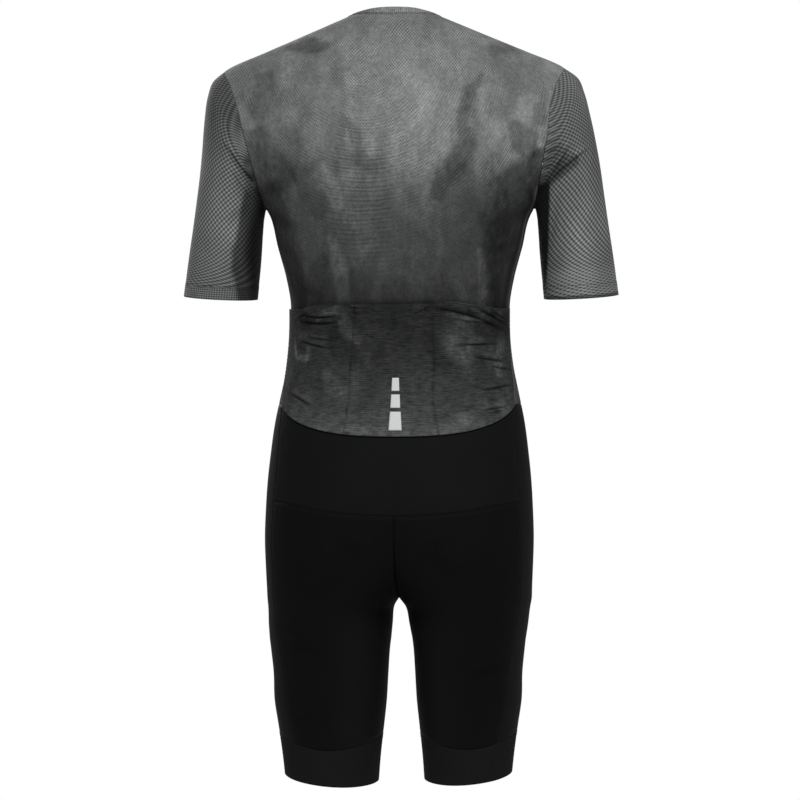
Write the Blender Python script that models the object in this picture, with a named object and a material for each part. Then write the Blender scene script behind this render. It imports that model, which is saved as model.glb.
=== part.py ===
"""A short-sleeved cycling skinsuit, filled out as it is when worn, with nobody in it.

Metres, +Z up, -Y the wearer's front, +X the wearer's left. The origin is the middle of the neck
opening, level with the tops of the shoulder seams, where the wearer's shoulders carry the suit.

Every panel is a patch of one of two surfaces. The body surface is a stack of rings from the neck
to the leg hems: below the waist each ring goes round one leg, and is cut off at the middle plane
until the legs part. The sleeve surface runs from the armhole, a loop on the body, to its hem.
A panel is a grid on its surface, thickened inwards to a wall and held off its neighbours.
"""

import math

import bmesh
import bpy
import numpy as np
from mathutils import Matrix, Vector

# ---------------------------------------------------------------- driving sizes
WALL = 0.0012  # stretch knit, with its seam allowance
BAND_WALL = 0.0014  # elastic leg band
SEAM_GAP = 0.0003  # between pieces that are sewn edge to edge
LAY_GAP = 0.0007  # between the back and the pockets that lie on it

NECK_HALF_WIDTH = 0.058
NECK_SIDE_Y = 0.012  # the neck's widest point, a little behind the origin
NECK_BACK_Y = 0.068
NECK_FRONT_Y = -0.061
NECK_MIDDLE_Y = (NECK_BACK_Y + NECK_FRONT_Y) / 2
COLLAR_HEIGHT = 0.0105
COLLAR_LEAN_FRONT = math.radians(17)  # towards the neck, from upright
COLLAR_LEAN_SIDE = math.radians(60)
COLLAR_LEAN_BACK = math.radians(27)

SHOULDER_TIP_Z = -0.064
ARMPIT_Z = -0.234
ARMHOLE_BACK = 0.070  # from the side line to the back of the armhole
ARMHOLE_FRONT = 0.076
CUFF_TILT = 0.005  # the sleeve's hem hangs lower behind and higher in front
SIDE_PANEL_TOP = 0.022  # half the side panel's width at the armpit

WAIST_SIDE_Z = -0.473
WAIST_BACK_Z = -0.511
WAIST_FRONT_Z = -0.468
WAIST_ARCH = 2.2  # how round the waist seam hangs behind
CROTCH_Z = -0.7085

POCKET_TOP_SIDE_Z = -0.356
POCKET_TOP_BACK_Z = -0.350
POCKET_SLACK = 0.0022  # how far an empty pocket stands off the back
DIVIDER_TOP_X = 0.048  # pocket stitch lines, from the middle of the back
DIVIDER_BOTTOM_X = 0.057

NECK_SHIFT = 0.0058  # the trunk stands this far to the right of the neck
LEAN_TOP_Z = -0.060
LEAN_END_Z = -0.200
FULLER_LEG = 0.035  # how much wider than the table the left leg is, and narrower the right
FULLER_LEG_X = 0.084
FULLER_LEG_RAMP = 0.050
LEFT_LEG_DROP = 0.004
LEG_LENGTH = 0.230

SLACK_RISE = 0.6  # the power of the height up the pockets that their slack follows
FOLD_END = 0.7  # how fast a fold rises from its ends

ZIP_WIDTH = 0.0062
ZIP_THICK = 0.0016
ZIP_PROUD = 0.0004
SLIDER_UP_COLLAR = 0.0052  # from the neck seam to the slider's middle
SLIDER_SIZE = (0.0075, 0.0095, 0.0026)
SLIDER_EDGE = 0.0005
BAIL_RADIUS = 0.0034
BAIL_WIRE = 0.00055
PIVOT_HEIGHT = 0.0013  # the pull tab's crossbar above the slider
TAB_WIDTH = 0.0060
TAB_LENGTH = 0.0220
TAB_THICK = 0.0012
TAB_WINDOW = (0.0030, 0.0042)
TAB_BAR = 0.0006  # from the crossbar's middle to its edge
TAB_CORNER = 0.0018

# ---------------------------------------------------------------- grid sizes
HALF_BACK_COLUMNS = 9
FRONT_COLUMNS = 8
SIDE_COLUMNS = 4
POCKET_ZONE_ROWS = 5
CHEST_ZONE_ROWS = 5
ARMHOLE_ROWS = 10
SHOULDER_ROWS = 5
SLEEVE_ROWS = 11
POCKET_FINER = (2, 4)  # pocket columns and rows to one of the back's
COLLAR_ROWS = 2
ZIP_ROWS = 16
WIRE_SIDES = 8
BAIL_STEPS = 12
CORNER_STEPS = 3
NORMAL_STEP = 1e-4
SAME_PLACE = 1e-6
LEAST_MITRE = 0.6  # the least share of a wall's normal that a mitred edge keeps
SHARP_ANGLE = math.radians(50)

# ---------------------------------------------------------------- sections
# Each ring of the body surface. leg_x is the middle of the ring, outer_x its widest point,
# front_y and back_y its depth, side_y where it is widest, and square how boxy it is: 2 is an ellipse.
BODY_COLUMNS = ("z", "leg_x", "outer_x", "front_y", "back_y", "side_y", "square")
BODY_RINGS = (
    (0.0060, 0.0, 0.0410, -0.0490, 0.0600, 0.0120, 2.00),
    (0.0000, 0.0, 0.0545, -0.0500, 0.0640, 0.0120, 2.00),
    (-0.0140, 0.0, 0.0875, -0.0520, 0.0740, 0.0120, 2.02),
    (-0.0300, 0.0, 0.1255, -0.0540, 0.0830, 0.0120, 2.05),
    (-0.0460, 0.0, 0.1635, -0.0570, 0.0900, 0.0120, 2.10),
    (-0.0640, 0.0, 0.2050, -0.0620, 0.0955, 0.0120, 2.20),
    (-0.0900, 0.0, 0.2215, -0.0740, 0.1020, 0.0110, 2.35),
    (-0.1200, 0.0, 0.2280, -0.0870, 0.1070, 0.0100, 2.45),
    (-0.1500, 0.0, 0.2220, -0.0980, 0.1100, 0.0080, 2.50),
    (-0.1800, 0.0, 0.2030, -0.1070, 0.1110, 0.0060, 2.50),
    (-0.2100, 0.0, 0.1810, -0.1130, 0.1100, 0.0030, 2.45),
    (-0.2400, 0.0, 0.1605, -0.1160, 0.1080, 0.0000, 2.40),
    (-0.2800, 0.0, 0.1500, -0.1160, 0.1020, -0.0030, 2.35),
    (-0.3200, 0.0, 0.1395, -0.1120, 0.0940, -0.0060, 2.30),
    (-0.3550, 0.0, 0.1345, -0.1080, 0.0885, -0.0080, 2.30),
    (-0.3900, 0.0, 0.1352, -0.1060, 0.0870, -0.0080, 2.30),
    (-0.4250, 0.0, 0.1390, -0.1060, 0.0900, -0.0060, 2.30),
    (-0.4600, 0.0, 0.1460, -0.1070, 0.0960, -0.0030, 2.30),
    (-0.4950, 0.0, 0.1530, -0.1080, 0.1040, 0.0010, 2.30),
    (-0.5300, 0.0, 0.1575, -0.1080, 0.1130, 0.0050, 2.30),
    (-0.5650, 0.010, 0.1610, -0.1065, 0.1200, 0.0080, 2.30),
    (-0.6000, 0.024, 0.1630, -0.1045, 0.1245, 0.0100, 2.30),
    (-0.6350, 0.043, 0.1640, -0.1025, 0.1240, 0.0110, 2.28),
    (-0.6700, 0.063, 0.1630, -0.1005, 0.1190, 0.0100, 2.22),
    (-0.6950, 0.0760, 0.1620, -0.0985, 0.1130, 0.0080, 2.16),
    (CROTCH_Z, 0.0808, 0.1616, -0.0970, 0.1090, 0.0060, 2.13),
    (-0.7200, 0.0838, 0.1602, -0.0955, 0.1050, 0.0050, 2.10),
    (-0.7400, 0.0846, 0.1588, -0.0930, 0.0990, 0.0040, 2.08),
    (-0.7700, 0.0850, 0.1555, -0.0890, 0.0910, 0.0030, 2.06),
    (-0.8000, 0.0845, 0.1525, -0.0845, 0.0850, 0.0020, 2.05),
    (-0.8300, 0.0850, 0.1518, -0.0800, 0.0800, 0.0010, 2.04),
    (-0.8650, 0.0843, 0.1468, -0.0745, 0.0745, 0.0000, 2.03),
    (-0.9000, 0.0838, 0.1420, -0.0700, 0.0705, 0.0000, 2.02),
    (-0.9400, 0.0832, 0.1378, -0.0670, 0.0675, 0.0000, 2.02),
)

# The armhole is a loop of one height and two half widths. The side panel meets its lowest stretch.
ARMHOLE_MIDDLE_Z = (SHOULDER_TIP_Z + ARMPIT_Z) / 2
ARMHOLE_HALF_Z = (SHOULDER_TIP_Z - ARMPIT_Z) / 2
PIT_ANGLE = math.asin(SIDE_PANEL_TOP / ARMHOLE_BACK)
PIT_SEAM_Z = ARMHOLE_MIDDLE_Z - ARMHOLE_HALF_Z * math.cos(PIT_ANGLE)

# Where the side panel's two seams run, measured from the side line to the front and to the back.
SIDE_SEAM_COLUMNS = ("z", "front", "back")
SIDE_SEAMS = (
    (PIT_SEAM_Z, ARMHOLE_FRONT * math.sin(PIT_ANGLE), SIDE_PANEL_TOP),
    (-0.280, 0.0215, 0.0205),
    (-0.340, 0.0205, 0.0200),
    (-0.400, 0.0230, 0.0230),
    (-0.440, 0.0300, 0.0310),
    (-0.475, 0.0390, 0.0410),
    (-0.515, 0.0450, 0.0510),
    (-0.560, 0.0480, 0.0580),
    (-0.620, 0.0500, 0.0620),
    (-0.700, 0.0500, 0.0635),
    (-0.760, 0.0480, 0.0600),
    (-0.820, 0.0450, 0.0590),
    (-0.880, 0.0420, 0.0590),
    (-0.950, 0.0400, 0.0570),
)

# Rings of the sleeve after the armhole itself. along is the share of the sleeve's length; top and
# pit are the ring's outer and inner points.
SLEEVE_COLUMNS = ("along", "top_x", "top_z", "pit_x", "pit_z", "front_y", "back_y")
SLEEVE_RINGS = (
    (0.060, 0.2230, -0.0755, 0.1660, -0.2345, -0.0675, 0.0740),
    (0.130, 0.2305, -0.0940, 0.1680, -0.2450, -0.0665, 0.0745),
    (0.230, 0.2362, -0.1220, 0.1690, -0.2560, -0.0650, 0.0730),
    (0.380, 0.2425, -0.1650, 0.1700, -0.2700, -0.0625, 0.0685),
    (0.540, 0.2485, -0.2090, 0.1710, -0.2860, -0.0600, 0.0620),
    (0.700, 0.2550, -0.2540, 0.1725, -0.3040, -0.0580, 0.0560),
    (0.850, 0.2615, -0.2970, 0.1745, -0.3240, -0.0550, 0.0510),
    (1.000, 0.2670, -0.3390, 0.1765, -0.3440, -0.0530, 0.0480),
)

# Rows of the shorts from the waist to the hem, at the side seams, the back seam or inseam, and the
# front seam or inseam. dip lowers the back of each leg.
SHORTS_COLUMNS = ("side_z", "back_z", "front_z", "dip")
SHORTS_ROWS = (
    (WAIST_SIDE_Z, WAIST_BACK_Z, WAIST_FRONT_Z, 0.000),
    (-0.502, -0.535, -0.500, 0.000),
    (-0.532, -0.559, -0.532, 0.000),
    (-0.562, -0.582, -0.562, 0.000),
    (-0.590, -0.604, -0.590, 0.000),
    (-0.616, -0.626, -0.616, 0.000),
    (-0.642, -0.648, -0.642, 0.000),
    (-0.664, -0.667, -0.664, 0.000),
    (-0.682, -0.683, -0.682, 0.000),
    (-0.696, -0.695, -0.695, 0.000),
    (-0.706, -0.7035, -0.7035, 0.000),
    (-0.715, CROTCH_Z, CROTCH_Z, 0.001),
    (-0.728, -0.7200, -0.7200, 0.002),
    (-0.745, -0.7380, -0.7380, 0.003),
    (-0.768, -0.7630, -0.7630, 0.004),
    (-0.793, -0.7900, -0.7900, 0.006),
    (-0.819, -0.8180, -0.8180, 0.009),
    (-0.845, -0.8460, -0.8460, 0.012),
    (-0.870, -0.8730, -0.8730, 0.014),
    (-0.896, -0.9020, -0.9020, 0.010),
    (-0.921, -0.9300, -0.9300, 0.005),
)
YOKE_ROW = 4  # the seam between the seat yoke and the backs of the legs
BAND_ROW = 18  # the seam between the legs and their bands
HEM_ROW = 20

# Folds of the pockets: their two ends, half their width, their depth, and how far they sag between.
FOLD_COLUMNS = ("x0", "z0", "x1", "z1", "half_width", "depth", "sag")
POCKET_FOLDS = (
    (-0.046, -0.354, -0.130, -0.381, 0.0095, 0.0022, 0.004),
    (-0.074, -0.402, -0.118, -0.400, 0.0090, 0.0016, 0.001),
    (-0.100, -0.456, -0.136, -0.450, 0.0090, 0.0016, 0.001),
    (0.130, -0.364, 0.086, -0.372, 0.0095, 0.0020, 0.002),
    (0.127, -0.391, 0.088, -0.407, 0.0090, 0.0014, 0.001),
    (0.142, -0.450, 0.110, -0.474, 0.0090, 0.0014, 0.001),
)

# ---------------------------------------------------------------- colours
BLACK = (0.012, 0.012, 0.013)
BAND_BLACK = (0.015, 0.015, 0.016)
GREY = (0.110, 0.115, 0.114)
DARK_GREY = (0.045, 0.046, 0.046)
MESH_GREY = (0.130, 0.138, 0.136)
COLLAR_GREY = (0.240, 0.245, 0.243)
METAL = (0.100, 0.100, 0.105)


# ---------------------------------------------------------------- tables and curves
def hermite(t, h, p0, p1, s0, s1):
    """The smooth curve over a step h from p0 to p1 with end slopes s0 and s1."""
    return (
        (1 + 2 * t) * (1 - t) ** 2 * p0
        + t * (1 - t) ** 2 * h * s0
        + t * t * (3 - 2 * t) * p1
        + t * t * (t - 1) * h * s1
    )


class Table:
    """Rows of sizes with named columns, read between the rows along a smooth curve."""

    def __init__(self, columns, rows):
        self.columns = columns
        self.rows = np.array(sorted(rows), float)
        self.keys = self.rows[:, 0]
        self.slopes = np.gradient(self.rows, self.keys, axis=0)
        steps = np.diff(self.rows, axis=0) / np.diff(self.keys)[:, None]
        for i in range(1, len(self.keys) - 1):
            turns_back = steps[i - 1] * steps[i] <= 0
            limit = 3 * np.minimum(abs(steps[i - 1]), abs(steps[i]))
            self.slopes[i] = np.where(turns_back, 0, np.clip(self.slopes[i], -limit, limit))

    def at(self, key):
        """The columns at a key, by name."""
        key = min(max(key, self.keys[0]), self.keys[-1])
        i = min(int(np.searchsorted(self.keys, key, side="right")) - 1, len(self.keys) - 2)
        h = self.keys[i + 1] - self.keys[i]
        t = (key - self.keys[i]) / h
        row = hermite(t, h, self.rows[i], self.rows[i + 1], self.slopes[i], self.slopes[i + 1])
        return dict(zip(self.columns, row))


BODY = Table(BODY_COLUMNS, BODY_RINGS)
SEAMS = Table(SIDE_SEAM_COLUMNS, SIDE_SEAMS)


def signed_power(value, power):
    """The power of a value's size, with its sign."""
    return math.copysign(abs(value) ** power, value)


def ease(share):
    """A share from 0 to 1, or an array of them, that starts and ends level."""
    return (1 - np.cos(np.pi * share)) / 2


def mix(a, b, share):
    """The value that share of the way from a to b."""
    return a + (b - a) * share


def waist_arch(off, away):
    """How far a row of the back has risen from the middle to the side. The waist seam is an arch, and
    rows some way off it, where away is 1 or more, are eased."""
    return mix(off**WAIST_ARCH, ease(off), min(1.0, away))


# ---------------------------------------------------------------- the body surface
def ring_end(ring):
    """The angle from the side line at which a ring meets the middle plane, or half a turn."""
    share = min(1.0, ring["leg_x"] / (ring["outer_x"] - ring["leg_x"]))
    return math.pi - math.acos(share ** (ring["square"] / 2))


def body_point(turn, z):
    """A point of the body surface. turn is -1 at the front middle or inseam, 0 at the wearer's left
    side, 1 at the back middle or inseam, and 2 at the right side."""
    ring = BODY.at(z)
    end = ring_end(ring)
    if abs(turn) > 1:
        if z < CROTCH_Z:
            turn -= math.copysign(2, turn)
        else:
            return body_point(math.copysign(2, turn) - turn, z) * (-1, 1, 1)
    angle, power = turn * end, 2 / ring["square"]
    half = ring["outer_x"] - ring["leg_x"]
    depth = ring["back_y"] - ring["side_y"] if turn > 0 else ring["side_y"] - ring["front_y"]
    x = ring["leg_x"] + half * signed_power(math.cos(angle), power)
    y = ring["side_y"] + depth * signed_power(math.sin(angle), power)
    return np.array((x, y, z))


def turn_at_depth(z, depth, back):
    """The turn at which a ring is that far behind, or in front of, the side line."""
    ring = BODY.at(z)
    whole = ring["back_y"] - ring["side_y"] if back else ring["side_y"] - ring["front_y"]
    angle = math.asin(min(1.0, max(0.0, depth) / whole) ** (ring["square"] / 2))
    return (angle if back else -angle) / ring_end(ring)


def zip_turn(z):
    """The turn of the zip's left edge on the front of a torso ring."""
    ring = BODY.at(z)
    return -math.acos((ZIP_WIDTH / 2 / ring["outer_x"]) ** (ring["square"] / 2)) / ring_end(ring)


def surface_normal(surface, u, v):
    """The outward normal of a surface. The two sides of the body meet in a crease at the crotch,
    where the normal is straight down."""
    at_middle = surface is body_point and abs(abs(u) - 1) < SAME_PLACE
    if at_middle and abs(v - CROTCH_Z) < 2 * NORMAL_STEP:
        return np.array((0.0, 0.0, -1.0))
    along_u = surface(u + NORMAL_STEP, v) - surface(u - NORMAL_STEP, v)
    along_v = surface(u, v + NORMAL_STEP) - surface(u, v - NORMAL_STEP)
    normal = np.cross(along_u, along_v)
    return normal / np.linalg.norm(normal)


# ---------------------------------------------------------------- the sleeve surface
def armhole(angle):
    """The turn and height of the armhole seam. The angle runs from 0 at the shoulder, by the front,
    to half a turn at the armpit, and on by the back."""
    z = ARMHOLE_MIDDLE_Z + ARMHOLE_HALF_Z * math.cos(angle)
    across = math.sin(angle)
    width = ARMHOLE_FRONT if across > 0 else ARMHOLE_BACK
    return turn_at_depth(z, abs(across) * width, across < 0), z


def sleeve_point(angle, along):
    """A point of the left sleeve, at an angle of the armhole and a share of the sleeve's length."""
    stations, points = [0.0], [body_point(*armhole(angle))]
    for values in SLEEVE_RINGS:
        ring = dict(zip(SLEEVE_COLUMNS, values))
        top = np.array((ring["top_x"], 0.0, ring["top_z"]))
        pit = np.array((ring["pit_x"], 0.0, ring["pit_z"]))
        point = (top + pit) / 2 + (top - pit) / 2 * math.cos(angle)
        middle, half = (ring["front_y"] + ring["back_y"]) / 2, (ring["back_y"] - ring["front_y"]) / 2
        point[1] = middle - half * math.sin(angle)
        point[2] += CUFF_TILT * ring["along"] ** 2 * math.sin(angle)
        stations.append(ring["along"])
        points.append(point)
    slopes = np.gradient(np.array(points), np.array(stations), axis=0)
    i = min(max(int(np.searchsorted(stations, along, side="right")) - 1, 0), len(stations) - 2)
    h = stations[i + 1] - stations[i]
    return hermite((along - stations[i]) / h, h, points[i], points[i + 1], slopes[i], slopes[i + 1])


def armhole_mitre(angle):
    """The shared direction of the walls that meet at the armhole."""
    turn, z = armhole(angle)
    body, sleeve = surface_normal(body_point, turn, z), surface_normal(sleeve_point, angle, 0.0)
    return mitre(body, sleeve)


def mitre(a, b):
    """The direction between two normals, lengthened so that a wall along it stays as thick."""
    middle = (a + b) / np.linalg.norm(a + b)
    return middle / max(LEAST_MITRE, float(middle @ a))


# ---------------------------------------------------------------- the collar and the zip's line
def turn_and_height_at(x, y):
    """The turn and height of the point of the upper body that is over a point of the ground plan."""
    low, high = PIT_SEAM_Z, BODY.keys[-1]
    for _ in range(40):
        z = (low + high) / 2
        ring = BODY.at(z)
        whole = ring["back_y"] - ring["side_y"] if y > ring["side_y"] else ring["side_y"] - ring["front_y"]
        across, along = abs(x) / ring["outer_x"], abs(y - ring["side_y"]) / whole
        if across ** ring["square"] + along ** ring["square"] > 1:
            high = z
        else:
            low = z
    angle = math.atan2(along ** (ring["square"] / 2), across ** (ring["square"] / 2))
    return math.copysign(angle / ring_end(ring), y - ring["side_y"]), z


def neck_edge(share):
    """The turn and height of the neck seam, an oval from above: share -1 is the zip's left edge, 0
    the left shoulder seam, 1 the back middle and 2 the right shoulder seam, round to 3."""
    if share > 1:
        turn, z = neck_edge(2 - share)
        return 2 - turn, z
    last = 1.0 if share > 0 else 1 - 2 / math.pi * math.asin(ZIP_WIDTH / 2 / NECK_HALF_WIDTH)
    angle = share * last * math.pi / 2
    depth = NECK_BACK_Y - NECK_SIDE_Y if share > 0 else NECK_SIDE_Y - NECK_FRONT_Y
    return turn_and_height_at(NECK_HALF_WIDTH * math.cos(angle), NECK_SIDE_Y + depth * math.sin(angle))


def collar_point(share, height):
    """A point of the collar, which leans most over the shoulders."""
    base = body_point(*neck_edge(share))
    inward = np.array((-base[0], NECK_MIDDLE_Y - base[1], 0.0))
    inward /= np.linalg.norm(inward)
    end_lean = COLLAR_LEAN_FRONT if share < 0 or share > 2 else COLLAR_LEAN_BACK
    lean = mix(COLLAR_LEAN_SIDE, end_lean, ease(abs((share + 1) % 2 - 1)))
    return base + height * (np.array((0.0, 0.0, math.cos(lean))) + math.sin(lean) * inward)


def neck_mitre(share):
    """The shared direction of the walls that meet at the neck seam."""
    body = surface_normal(body_point, *neck_edge(share))
    return mitre(body, surface_normal(collar_point, share, 0.0))


# ---------------------------------------------------------------- how it stands
def stance(points):
    """The finished points of either side, with the little that the two sides differ."""
    points = points.copy()
    x, z = points[..., 0], points[..., 2]
    below_neck = np.clip((LEAN_TOP_Z - z) / (LEAN_TOP_Z - LEAN_END_Z), 0, 1)
    down_leg = np.clip((CROTCH_Z - z) / FULLER_LEG_RAMP, 0, 1)
    leg_x = np.copysign(FULLER_LEG_X, x)
    x += (x - leg_x) * FULLER_LEG * np.sign(x) * down_leg
    x -= NECK_SHIFT * ease(below_neck)
    z -= np.where(leg_x > 0, LEFT_LEG_DROP, 0) * np.clip((CROTCH_Z - z) / LEG_LENGTH, 0, 1)
    return points


# ---------------------------------------------------------------- building walls
class Cloth:
    """One cloth piece: its outer points in rows and columns, and the way its wall goes inwards."""

    def __init__(self, name, surface, domain, columns, rows, colour, wall=WALL, closed=False):
        self.name, self.colour, self.closed = name, colour, closed
        self.outer = np.zeros((rows + 1, columns + 1, 3))
        self.outward = np.zeros_like(self.outer)
        for r in range(rows + 1):
            for c in range(columns + 1):
                u, v = domain(c, r)
                self.outer[r, c] = surface(u, v)
                self.outward[r, c] = surface_normal(surface, u, v)
        self.outward *= wall

    def lift(self, height):
        """Moves each point out by height(row, column, point)."""
        for r, c in np.ndindex(self.outer.shape[:2]):
            outward = self.outward[r, c] / np.linalg.norm(self.outward[r, c])
            self.outer[r, c] += outward * height(r, c, self.outer[r, c])
        return self

    def hold_apart(self):
        """Draws every edge back by half the seam gap."""
        sheets = [self.outer] if self.closed else [self.outer, self.outer.transpose(1, 0, 2)]
        for sheet in sheets:
            for edge, inside in ((0, 1), (-1, -2)):
                step = sheet[inside] - sheet[edge]
                sheet[edge] += step / np.linalg.norm(step, axis=1)[:, None] * SEAM_GAP / 2
        return self

    def build(self, mirrored=False, name=None):
        """The closed wall, as an object. A mirrored one is the same piece on the right side."""
        outer, inner = self.outer, self.outer - self.outward
        if mirrored:
            outer, inner = (sheet[:, ::-1] * (-1, 1, 1) for sheet in (outer, inner))
        outer, inner = stance(outer), stance(inner)
        rows, columns = outer.shape[0] - 1, outer.shape[1] - 1
        shape = bmesh.new()
        place = shape.verts.layers.int.new("place")
        bmesh.ops.create_grid(shape, x_segments=columns, y_segments=rows, size=1)
        for i, vert in enumerate(shape.verts):
            vert[place] = i
            vert.co = inner[divmod(i, columns + 1)]
        if self.closed:
            bmesh.ops.remove_doubles(shape, verts=shape.verts[:], dist=SAME_PLACE)
        grown = bmesh.ops.extrude_face_region(shape, geom=shape.faces[:])
        for vert in (part for part in grown["geom"] if isinstance(part, bmesh.types.BMVert)):
            vert.co = outer[divmod(vert[place], columns + 1)]
        bmesh.ops.triangulate(shape, faces=shape.faces[:], quad_method="SHORT_EDGE")
        bmesh.ops.recalc_face_normals(shape, faces=shape.faces[:])
        return add_object(name or self.name, shape, self.colour)


def add_object(name, shape, colour, rough=0.8, metallic=0.0):
    """An object made from a bmesh, with its own material, in the suit's collection."""
    mesh = bpy.data.meshes.new(name)
    shape.to_mesh(mesh)
    shape.free()
    mesh.shade_smooth()
    mesh.set_sharp_from_angle(angle=SHARP_ANGLE)
    made = bpy.data.objects.new(name, mesh)
    SUIT.objects.link(made)
    made.data.materials.append(plain_material(name, colour, rough, metallic))
    return made


def plain_material(name, colour, rough, metallic):
    """A material of one colour."""
    material = bpy.data.materials.new(name)
    material.use_nodes = True
    shader = material.node_tree.nodes["Principled BSDF"]
    shader.inputs["Base Color"].default_value = (*colour, 1)
    shader.inputs["Roughness"].default_value = rough
    shader.inputs["Metallic"].default_value = metallic
    return material


def new_collection(name):
    """A collection in the scene."""
    collection = bpy.data.collections.new(name)
    bpy.context.scene.collection.children.link(collection)
    return collection


# ---------------------------------------------------------------- torso
ARMHOLE_STEP = (math.pi - PIT_ANGLE) / ARMHOLE_ROWS
TORSO_ZONES = (POCKET_ZONE_ROWS, CHEST_ZONE_ROWS, ARMHOLE_ROWS)
PIT_ROW = POCKET_ZONE_ROWS + CHEST_ZONE_ROWS
TIP_ROW = PIT_ROW + ARMHOLE_ROWS
TORSO_ROWS = TIP_ROW + SHOULDER_ROWS
# Heights of the zones' ends at the middle of the back and of the front.
BACK_MIDDLE_Z = (WAIST_BACK_Z, POCKET_TOP_BACK_Z, -0.236, -0.082)
FRONT_MIDDLE_Z = (WAIST_FRONT_Z, -0.354, -0.240, -0.112)


def middle_z(row, heights):
    """The height of a torso row at the middle of the back or the front, from its zones' ends."""
    for count, low, high in zip(TORSO_ZONES, heights, heights[1:]):
        if row <= count:
            return mix(low, high, row / count)
        row -= count
    return heights[-1]


def torso_side(row, back):
    """The turn and height of the edge of the back or front at a row: up the side seam and round the
    armhole."""
    if row > PIT_ROW:
        angle = (TIP_ROW - row) * ARMHOLE_STEP
        return armhole(-angle if back else angle)
    if row > POCKET_ZONE_ROWS:
        z = mix(POCKET_TOP_SIDE_Z, PIT_SEAM_Z, (row - POCKET_ZONE_ROWS) / CHEST_ZONE_ROWS)
    else:
        z = mix(WAIST_SIDE_Z, POCKET_TOP_SIDE_Z, row / POCKET_ZONE_ROWS)
    return turn_at_depth(z, SEAMS.at(z)["back" if back else "front"], back), z


def back_domain(column, row):
    """Columns run from the left side seam, by the middle of the back, to the right one."""
    off = (column - HALF_BACK_COLUMNS) / HALF_BACK_COLUMNS
    side_turn, side_z = torso_side(min(row, TIP_ROW), back=True)
    turn = mix(1.0, side_turn, abs(off))
    rise = waist_arch(abs(off), row / POCKET_ZONE_ROWS)
    z = mix(middle_z(row, BACK_MIDDLE_Z), side_z, rise)
    turn, z = up_shoulder((turn, z), neck_edge(1 - abs(off)), row)
    return (turn if off <= 0 else 2 - turn), z


def front_domain(column, row):
    """Columns run from the zip to the left side seam."""
    share = column / FRONT_COLUMNS
    side_turn, side_z = torso_side(min(row, TIP_ROW), back=False)
    edge_z = middle_z(row, FRONT_MIDDLE_Z)
    below = mix(zip_turn(edge_z), side_turn, share), mix(edge_z, side_z, ease(share))
    return up_shoulder(below, neck_edge(share - 1), row)


def up_shoulder(tip, neck, row):
    """The turn and height of a column at a row above the shoulder tip's, on its way to the neck."""
    share = max(0.0, (row - TIP_ROW) / SHOULDER_ROWS)
    return mix(tip[0], neck[0], share), mix(tip[1], neck[1], share)


def side_domain(column, row):
    """Columns run from the front seam to the back seam, and the top row along the armhole."""
    share = column / SIDE_COLUMNS
    (front_turn, z), (back_turn, _) = torso_side(row, False), torso_side(row, True)
    pit_turn, pit_z = armhole(math.pi + (2 * share - 1) * PIT_ANGLE)
    level_turn = mix(torso_side(PIT_ROW, False)[0], torso_side(PIT_ROW, True)[0], share)
    near_pit = (row / PIT_ROW) ** 4
    turn = mix(front_turn, back_turn, share) + (pit_turn - level_turn) * near_pit
    return turn, z + (pit_z - PIT_SEAM_Z) * near_pit


def mitre_torso(cloth, column, back):
    """Turns a panel's wall to meet the sleeve along the armhole, which is at one of its edges."""
    for row in range(PIT_ROW, TIP_ROW + 1):
        angle = (TIP_ROW - row) * ARMHOLE_STEP
        outward = armhole_mitre(-angle if back else angle) * WALL
        cloth.outward[row, column] = outward
        if back:
            cloth.outward[row, -1] = outward * (-1, 1, 1)


def build_torso():
    """The back in one piece, the two fronts, and the narrow panels down the sides."""
    back = Cloth("back_panel", body_point, back_domain, 2 * HALF_BACK_COLUMNS, TORSO_ROWS, GREY)
    mitre_torso(back, 0, back=True)
    for column in range(2 * HALF_BACK_COLUMNS + 1):
        back.outward[-1, column] = neck_mitre(column / HALF_BACK_COLUMNS) * WALL
    back.hold_apart().build()

    front = Cloth("front_left", body_point, front_domain, FRONT_COLUMNS, TORSO_ROWS, GREY)
    mitre_torso(front, FRONT_COLUMNS, back=False)
    for column in range(FRONT_COLUMNS + 1):
        front.outward[-1, column] = neck_mitre(column / FRONT_COLUMNS - 1) * WALL
    front.hold_apart().build()
    front.build(mirrored=True, name="front_right")

    side = Cloth("torso_side_left", body_point, side_domain, SIDE_COLUMNS, PIT_ROW, DARK_GREY)
    for column in range(SIDE_COLUMNS + 1):
        angle = math.pi + (2 * column / SIDE_COLUMNS - 1) * PIT_ANGLE
        side.outward[-1, column] = armhole_mitre(angle) * WALL
    side.hold_apart().build()
    side.build(mirrored=True, name="torso_side_right")


# ---------------------------------------------------------------- pockets
def pocket_height(row, _column, point):
    """How far the pockets stand off the back: slack between their stitch lines, and their folds."""
    up = row / (POCKET_ZONE_ROWS * POCKET_FINER[1])
    divider = mix(DIVIDER_BOTTOM_X, DIVIDER_TOP_X, up)
    edge = BODY.at(point[2])["outer_x"]
    x = abs(point[0])
    share = x / divider / 2 + 0.5 if x < divider else min(1.0, (x - divider) / (edge - divider))
    slack = POCKET_SLACK * math.sin(math.pi * share) * up**SLACK_RISE
    return LAY_GAP + WALL + slack + sum(fold_height(fold, point) for fold in POCKET_FOLDS)


def fold_height(fold, point):
    """A soft ridge along a sagging line, seen from behind."""
    size = dict(zip(FOLD_COLUMNS, fold))
    start = np.array((size["x0"], size["z0"]))
    line = np.array((size["x1"], size["z1"])) - start
    along = float((point[[0, 2]] - start) @ line / (line @ line))
    if not 0 < along < 1:
        return 0.0
    sagged = start + line * along - (0, size["sag"] * math.sin(math.pi * along))
    off = float(np.linalg.norm(point[[0, 2]] - sagged)) / size["half_width"]
    return size["depth"] * (1 - ease(min(1.0, off))) * math.sin(math.pi * along) ** FOLD_END


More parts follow.
